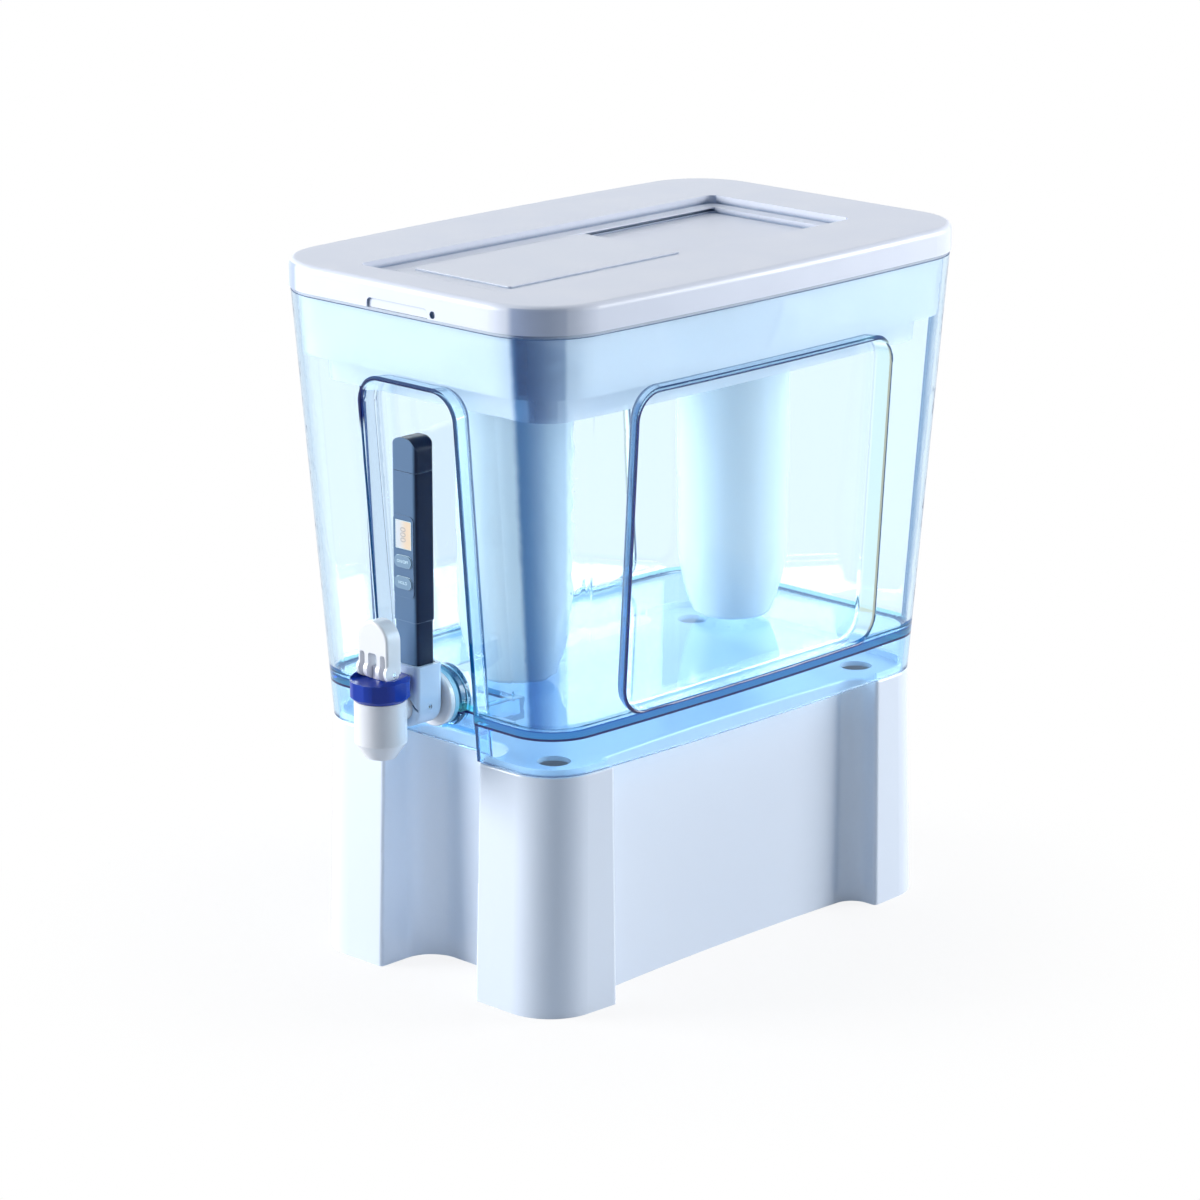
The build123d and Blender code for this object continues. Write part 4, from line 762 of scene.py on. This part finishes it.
MEDIUM_GREY = MouldedPlastic(
    "filter_medium_grains",
    colour=(0.22, 0.20, 0.18),
    drift=(0.42, 0.36, 0.26),
    worn_and_lit=(0.5, 0.45, 0.38),
    drift_scale=1400.0,
    gloss=0.6,
    dull=0.9,
    peel_scale=1500.0,
    peel_depth=0.0004,
)
TAP_WHITE = MouldedPlastic(
    "tap_white_gloss",
    colour=(0.82, 0.83, 0.85),
    drift=(0.80, 0.81, 0.84),
    worn_and_lit=(0.88, 0.88, 0.89),
    gloss=0.15,
    dull=0.23,
    coat=0.4,
    crevice_shade=(0.42, 0.48, 0.56),
    crevice_reach=0.0025,
)
BONNET_BLUE = MouldedPlastic(
    "bonnet_royal_blue",
    colour=(0.004, 0.030, 0.30),
    drift=(0.006, 0.040, 0.36),
    worn_and_lit=(0.03, 0.16, 0.62),
    gloss=0.16,
    dull=0.25,
    shine=0.22,
    dust=0.04,
)
SEAL_RUBBER = MouldedPlastic(
    "seal_pale_silicone",
    colour=(0.72, 0.78, 0.84),
    drift=(0.76, 0.81, 0.86),
    worn_and_lit=(0.82, 0.86, 0.90),
    gloss=0.5,
    dull=0.7,
    peel_scale=1600.0,
    peel_depth=0.00002,
)
SEAL_AQUA = MouldedPlastic(
    "seal_aqua_silicone",
    colour=(0.30, 0.66, 0.86),
    drift=(0.36, 0.70, 0.88),
    worn_and_lit=(0.60, 0.84, 0.94),
    gloss=0.4,
    dull=0.55,
    crevice_shade=(0.02, 0.16, 0.42),
    crevice_reach=0.003,
)
SPRING_STEEL = TurnedMetal("spring_drawn_steel", stretch=(6.0, 6.0, 1.0))
PIN_STEEL = TurnedMetal("pin_turned_steel", stretch=(30.0, 1.0, 1.0), roughness=0.22)
CELL_STEEL = TurnedMetal("cell_pressed_steel", colour=(0.58, 0.58, 0.57))
DOCK_PALE = MouldedPlastic(
    "dock_pale_grey",
    colour=(0.56, 0.68, 0.84),
    drift=(0.50, 0.64, 0.82),
    worn_and_lit=(0.78, 0.84, 0.92),
    gloss=0.16,
    dull=0.24,
    crevice_shade=(0.16, 0.26, 0.42),
    crevice_reach=0.002,
)
METER_NAVY = MouldedPlastic(
    "meter_navy_satin",
    colour=(0.003, 0.012, 0.042),
    drift=(0.004, 0.015, 0.050),
    # the edge colour here is mostly a painted highlight along the meter's edges
    worn_and_lit=(0.20, 0.30, 0.46),
    # painted light: the lighter front face stands in for a lamp's reflection
    front=(0.105, 0.185, 0.31),
    rub_and_highlight=0.8,
    shine=0.15,
    peel_scale=1300.0,
    peel_depth=0.000006,
    dust=0.04,
)
BUTTON_PALE = MouldedPlastic(
    "button_mid_blue",
    colour=(0.14, 0.25, 0.38),
    drift=(0.16, 0.28, 0.41),
    worn_and_lit=(0.42, 0.60, 0.72),
    gloss=0.35,
    dull=0.5,
)
PRINT_PALE = MouldedPlastic(
    "print_pale_blue",
    colour=(0.62, 0.84, 0.93),
    drift=(0.66, 0.87, 0.95),
    worn_and_lit=(0.7, 0.88, 0.95),
    drift_scale=400.0,
    gloss=0.4,
    dull=0.55,
)
SEGMENT_GREY = MouldedPlastic(
    "segment_warm_grey",
    colour=(0.36, 0.34, 0.33),
    drift=(0.42, 0.39, 0.37),
    worn_and_lit=(0.44, 0.42, 0.40),
    drift_scale=500.0,
    gloss=0.3,
    dull=0.5,
)


# ---------------------------------------------------------------- meshes


def new_object(name: str, data: Any) -> bpy.types.Object:
    """Makes an object in the scene, at the origin."""
    made = bpy.data.objects.new(name, data)
    bpy.context.scene.collection.objects.link(made)
    return made


@dataclass
class Draft:
    """A bmesh in the making, and its way to a finished piece."""

    mesh: bmesh.types.BMesh = field(default_factory=bmesh.new)

    def plate(self, width: float, height: float, radius: float, segments: int = 8) -> list:
        """Makes one flat face with rounded corners, looking towards -Y.

        Args:
            width: Size along X.
            height: Size along Z.
            radius: Corner radius.
            segments: Steps round each corner.

        Returns:
            The new face in a list.
        """
        made = bmesh.ops.create_grid(self.mesh, x_segments=1, y_segments=1, size=0.5)
        corners = made["verts"]
        turn = Matrix.Rotation(math.radians(90), 4, "X") @ Matrix.Diagonal((width, height, 1.0, 1.0))
        bmesh.ops.transform(self.mesh, matrix=turn, verts=corners)
        shape = {"offset": radius, "segments": segments, "profile": 0.5, "affect": "VERTICES"}
        bmesh.ops.bevel(self.mesh, geom=corners, material=-1, **shape)
        return list(self.mesh.faces)

    def thicken(self, faces: list, depth: float) -> None:
        """Pulls faces out towards -Y by a depth and closes them behind."""
        grown = bmesh.ops.extrude_face_region(self.mesh, geom=faces, use_keep_orig=True)
        moved = [item for item in grown["geom"] if isinstance(item, bmesh.types.BMVert)]
        bmesh.ops.translate(self.mesh, vec=(0.0, -depth, 0.0), verts=moved)
        bmesh.ops.recalc_face_normals(self.mesh, faces=self.mesh.faces)

    def move(self, place: Vector) -> None:
        """Moves the whole draft."""
        bmesh.ops.translate(self.mesh, vec=place, verts=self.mesh.verts)

    def finish(self, name: str) -> bpy.types.Object:
        """Turns the draft into an object of that name at the origin."""
        data = bpy.data.meshes.new(name)
        self.mesh.to_mesh(data)
        self.mesh.free()
        return new_object(name, data)


@dataclass
class Assembly:
    """What every sub-assembly has: ways to finish solids and to add pieces to a body."""

    def body_of(self, node: str) -> str:
        """The body that a solid of the model moves with."""
        bodies = frame["record"]["behaviour"]["bodies"]
        return next(body for body, members in bodies.items() if node in members)

    def coat(self, node: str, finish: Finish) -> None:
        """Gives a solid that stays as it is its finish."""
        piece = frame["nodes"][node]
        piece.data.materials.clear()
        piece.data.materials.append(finish.material())
        log.info("coated %s", node)

    def coat_all(self, finish: Finish, *nodes: str) -> None:
        """Gives several solids one finish."""
        for node in nodes:
            self.coat(node, finish)

    def attach(self, piece: bpy.types.Object, body: str, finish: Finish, slot: Slot) -> None:
        """Gives a piece its finish, and makes it move with a body."""
        piece.data.materials.clear()
        piece.data.materials.append(finish.material())
        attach(piece, body)
        log.info("made %s on %s", piece.name, body)


# ---------------------------------------------------------------- sub-assemblies


@dataclass
class Stand(Assembly):
    """The white stand under the tank."""

    def build(self) -> None:
        """Dresses the stand."""
        self.coat("base_stand", STAND_WHITE)


@dataclass
class Tank(Assembly):
    """The clear tapered tank, with its recess for the tap and a window in each long wall."""

    foot_width: float = 211.0 * MM
    foot_length: float = 334.8 * MM
    floor_under: float = 23.0 * MM
    floor_top: float = 26.5 * MM
    window_length: float = 224.0 * MM
    window_sill: float = 2.7 * MM
    window_drop: float = 41.5 * MM
    recess_width: float = 77.0 * MM
    recess_drop: float = 42.0 * MM
    corner: float = 16.0 * MM
    window_fade: tuple[float, float] = (0.42, 0.49)
    recess_fade: tuple[float, float] = (1.5, 2.2)

    def build(self) -> None:
        """Dresses the tank, with its painted dark lines where its own box puts them."""
        low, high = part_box("tank")
        middle = (low + high) / 2
        floor_top = low.z + self.floor_top
        window_low = floor_top + self.window_sill
        window_high = high.z - self.window_drop
        recess_high = high.z - self.recess_drop
        recess_low = low.z - self.recess_drop
        recess_half = (recess_high - recess_low) / 2
        window = SunkPanel(
            across=Part.Y,
            through=Part.X,
            middle=Vector((middle.x, middle.y, (window_low + window_high) / 2)),
            length=self.window_length,
            height=window_high - window_low,
            corner=self.corner,
            wall_foot=self.foot_width / 2,
            wall_slope=(high.x - low.x - self.foot_width) / 2 / (high.z - low.z),
            fade_part=Part.Y,
            fade_from=self.window_fade[0] * self.window_length,
            fade_to=self.window_fade[1] * self.window_length,
        )
        recess = SunkPanel(
            across=Part.X,
            through=Part.Y,
            middle=Vector((middle.x, middle.y, (recess_low + recess_high) / 2)),
            length=self.recess_width,
            height=recess_high - recess_low,
            corner=self.corner,
            wall_foot=self.foot_length / 2,
            wall_slope=(high.y - low.y - self.foot_length) / 2 / (high.z - low.z),
            fade_part=Part.Z,
            fade_from=recess_half - self.recess_fade[0] * self.corner,
            fade_to=recess_half - self.recess_fade[1] * self.corner,
            both_walls=False,
        )
        finish = ClearPlastic(
            "tank_clear_blue",
            foot=low.z,
            slab_low=low.z + self.floor_under,
            slab_high=window_low - self.window_sill / 2,
            panels=(window, recess),
            step_place=middle.y + self.window_length / 2,
        )
        self.coat("tank", finish)


@dataclass
class Tray(Assembly):
    """The upper tray that hangs in the tank."""

    def build(self) -> None:
        """Dresses the tray."""
        self.coat("upper_tray", TRAY_PALE)


@dataclass
class FilterCartridge(Assembly):
    """One filter cartridge: cap, two shells, gasket and medium."""

    place: str = "front"

    def build(self) -> None:
        """Dresses the cartridge's pieces."""
        prefix = f"filter_{self.place}_"
        self.coat_all(FILTER_BLUE, prefix + "cap", prefix + "upper_shell", prefix + "lower_shell")
        self.coat(prefix + "gasket", SEAL_RUBBER)
        self.coat(prefix + "medium", MEDIUM_GREY)


@dataclass
class Lid(Assembly):
    """The lid and its sliding fill door."""

    def build(self) -> None:
        """Dresses the lid and the door."""
        self.coat("lid", LID_WHITE)
        self.coat("fill_door", DOOR_WHITE)


@dataclass
class Tap(Assembly):
    """The tap: body, bonnet ring, lever and the valve inside."""

    def build(self) -> None:
        """Dresses the tap's pieces."""
        self.coat_all(TAP_WHITE, "tap_body", "tap_lever", "valve_stem", "tap_fixing_nut")
        self.coat("bonnet_ring", BONNET_BLUE)
        self.coat_all(SEAL_AQUA, "tap_outer_gasket", "tap_inner_washer")
        self.coat("valve_seat_cup", SEAL_RUBBER)
        self.coat("valve_spring", SPRING_STEEL)
        self.coat("lever_pin", PIN_STEEL)


@dataclass
class Dock(Assembly):
    """The bracket that holds the meter."""

    def build(self) -> None:
        """Dresses the dock and its screw."""
        self.coat("meter_dock", DOCK_PALE)
        self.coat("dock_screw", PIN_STEEL)


@dataclass
class Meter(Assembly):
    """The water meter: case, caps, display and buttons."""

    print_depth: float = 0.05 * MM
    letter_height: float = 2.6 * MM
    digit_height: float = 6.2 * MM
    outline_width: float = 0.45 * MM
    display_corner: float = 0.8 * MM
    round_end: float = 2.1
    inner_share: float = 0.5

    def build(self) -> None:
        """Dresses the meter and adds what is printed on it."""
        self.coat_all(METER_NAVY, "meter_probe_cap", "meter_case", "meter_battery_cap")
        low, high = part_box("meter_display")
        cell = LiquidCrystal("display_cell", middle=(low.x + high.x) / 2, width=high.x - low.x)
        self.coat("meter_display", cell)
        self.coat("meter_electrodes", PIN_STEEL)
        self.coat("meter_cells", CELL_STEEL)
        self.outline("display_outline", low, high, self.display_corner, low.y)
        digits = self.word("display_digits", "000", self.digit_height, self.front_of(low, high), math.pi / 2)
        self.attach(digits, "meter", SEGMENT_GREY, Slot.DISPLAY)
        self.button("meter_power_button", "power_button", "ON/OFF")
        self.button("meter_hold_button", "hold_button", "HOLD")

    def front_of(self, low: Vector, high: Vector) -> Vector:
        """The middle of a box's front face."""
        return Vector(((low.x + high.x) / 2, low.y, (low.z + high.z) / 2))

    def outline(self, name: str, low: Vector, high: Vector, radius: float, level: float) -> None:
        """Prints a pale line round a rounded field.

        Args:
            name: The piece's name.
            low: The field's lowest corner.
            high: Its highest corner.
            radius: The outer corner radius.
            level: Where along Y the line lies.
        """
        width, height = high.x - low.x, high.z - low.z
        draft = Draft()
        faces = draft.plate(width + self.outline_width, height + self.outline_width, radius)
        bmesh.ops.inset_region(
            draft.mesh,
            faces=faces,
            thickness=self.outline_width,
            use_boundary=True,
            use_even_offset=True,
        )
        inner = [face for face in draft.mesh.faces if face.calc_area() > self.inner_share * width * height]
        bmesh.ops.delete(draft.mesh, geom=inner, context="FACES")
        draft.thicken(list(draft.mesh.faces), self.print_depth)
        place = self.front_of(low, high)
        draft.move(Vector((place.x, level, place.z)))
        self.attach(draft.finish(name), "meter", PRINT_PALE, Slot.BUTTON)

    def word(self, name: str, text: str, height: float, place: Vector, roll: float = 0.0) -> bpy.types.Object:
        """Makes a printed word.

        Args:
            name: The piece's name.
            text: The letters.
            height: The letters' size.
            place: The middle of the word.
            roll: How far the word is turned in its plane, in radians.

        Returns:
            The word as a mesh that looks towards -Y.
        """
        letters = bpy.data.curves.new(name + "_letters", "FONT")
        letters.body = text
        letters.size = height
        letters.align_x = letters.align_y = "CENTER"
        letters.extrude = self.print_depth / 2
        loose = new_object(name + "_text", letters)
        bpy.context.view_layer.update()
        data = bpy.data.meshes.new_from_object(loose.evaluated_get(bpy.context.evaluated_depsgraph_get()))
        bpy.data.objects.remove(loose)
        turn = Matrix.Rotation(math.radians(90), 4, "X") @ Matrix.Rotation(roll, 4, "Z")
        data.transform(Matrix.Translation(place) @ turn)
        return new_object(name, data)

    def button(self, node: str, name: str, legend: str) -> None:
        """Dresses one button, prints its legend and the line round it.

        Args:
            node: The button's solid.
            name: The start of its pieces' names.
            legend: The word on it.
        """
        self.coat(node, BUTTON_PALE)
        low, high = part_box(node)
        word = self.word(name + "_legend", legend, self.letter_height, self.front_of(low, high))
        self.attach(word, self.body_of(node), PRINT_PALE, Slot.BUTTON)
        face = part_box("meter_case")[0].y
        radius = (high.z - low.z + self.outline_width) / self.round_end
        self.outline(name + "_outline", low, high, radius, face)


# ---------------------------------------------------------------- studio


@dataclass
class Lamp:
    """A square soft lamp that looks at the dispenser."""

    name: str
    place: Vector
    side: float
    power: float
    colour: Colour = WHITE

    def build(self, target: Vector) -> None:
        """Hangs the lamp and turns it to the target."""
        data = bpy.data.lights.new(self.name, "AREA")
        data.shape = "SQUARE"
        data.size = self.side
        data.energy = self.power
        data.color = self.colour
        lamp = new_object(self.name, data)
        lamp.location = self.place
        lamp.rotation_euler = (target - self.place).to_track_quat("-Z", "Y").to_euler()


@dataclass
class Studio:
    """The floor, the light and the camera."""

    camera_place: Vector = field(default_factory=lambda: Vector((1.7539, -1.83333, 0.9277)))
    camera_back: Vector = field(default_factory=lambda: Vector((0.66607, -0.69400, 0.27334)))
    lens: float = 129.66
    sensor: float = 36.0
    target: Vector = field(default_factory=lambda: Vector((0.0, 0.0, 0.22)))
    floor_side: float = 24.0
    fill: float = 0.27
    fill_colour: Colour = (0.74, 0.85, 1.0)
    clip_near: float = 0.05
    clip_far: float = 100.0
    bounce: Colour = (0.52, 0.58, 0.66)
    cloth: Colour = (0.95, 0.95, 0.96)
    glow_near: float = 0.84
    glow_from: float = 0.14
    glow_full: float = 0.40
    lamps: tuple[Lamp, ...] = field(
        default_factory=lambda: (
            Lamp("left_panel", Vector((-2.0, -1.8, 0.9)), 1.4, 99.0),
            Lamp("right_panel", Vector((1.6, 2.2, 0.9)), 1.4, 74.0),
            Lamp("top_panel", Vector((-0.3, 0.5, 2.3)), 1.6, 8.0),
        )
    )

    def build(self) -> None:
        """Sets up the whole studio."""
        scene = bpy.context.scene
        scene.view_settings.view_transform = "Standard"
        self.build_camera()
        self.build_world()
        self.build_floor()
        for lamp in self.lamps:
            lamp.build(self.target)

    def build_camera(self) -> None:
        """Places the camera."""
        data = bpy.data.cameras.new("camera")
        data.lens = self.lens
        data.sensor_width = self.sensor
        data.clip_start = self.clip_near
        data.clip_end = self.clip_far
        camera = new_object("camera", data)
        back = self.camera_back.normalized()
        right = Vector((0.0, 0.0, 1.0)).cross(back).normalized()
        up = back.cross(right)
        turn = Matrix((right, up, back)).transposed().to_4x4()
        camera.matrix_world = Matrix.Translation(self.camera_place) @ turn
        bpy.context.scene.camera = camera

    def seen_directly(self, wiring: Wiring) -> bpy.types.NodeSocket:
        """A mask for rays that come from the camera, a reflection or a clear piece."""
        path = wiring.add("ShaderNodeLightPath").outputs
        mirror = wiring.compute("MAXIMUM", path["Is Camera Ray"], path["Is Glossy Ray"])
        return wiring.compute("MAXIMUM", mirror, path["Is Transmission Ray"])

    def build_world(self) -> None:
        """Makes a white surround that gives the objects a plain fill."""
        world = bpy.data.worlds.new("surround")
        wiring = Wiring.fresh(world)
        seen = self.seen_directly(wiring)
        fill = wiring.add("ShaderNodeBackground", {"Color": self.fill_colour, "Strength": self.fill})
        white = wiring.add("ShaderNodeBackground", {"Color": WHITE, "Strength": 1.0})
        wiring.add("ShaderNodeOutputWorld", {"Surface": wiring.blend(seen, fill, white)})
        bpy.context.scene.world = world

    def build_floor(self) -> None:
        """Lays a white floor that keeps the dispenser's soft shadow."""
        draft = Draft()
        bmesh.ops.create_grid(draft.mesh, x_segments=1, y_segments=1, size=self.floor_side / 2)
        floor = draft.finish("studio_floor")
        material = bpy.data.materials.new("floor_white")
        wiring = Wiring.fresh(material)
        seen = self.seen_directly(wiring)
        place = wiring.texture("Object")
        reach = wiring.add("ShaderNodeVectorMath", {0: place}, operation="LENGTH").outputs["Value"]
        away = wiring.spread(reach, self.glow_near, 1.0, self.glow_from, self.glow_full)
        colour = wiring.mix(seen, self.bounce, self.cloth)
        cloth = wiring.add("ShaderNodeBsdfDiffuse", {"Color": colour})
        glow = wiring.add("ShaderNodeEmission", {"Color": WHITE, "Strength": 1.0})
        both = wiring.blend(wiring.compute("MULTIPLY", seen, away), cloth, glow)
        wiring.add("ShaderNodeOutputMaterial", {"Surface": both})
        floor.data.materials.append(material)


def main() -> None:
    """Builds every sub-assembly and the studio in order."""
    logging.basicConfig(level=logging.INFO, format="%(name)s: %(message)s")
    assemblies = (
        Stand(),
        Tank(),
        Tray(),
        FilterCartridge("front"),
        FilterCartridge("rear"),
        Lid(),
        Tap(),
        Dock(),
        Meter(),
    )
    for assembly in assemblies:
        log.info("building %s", type(assembly).__name__)
        assembly.build()
    Studio().build()


if __name__ == "__main__":
    main()
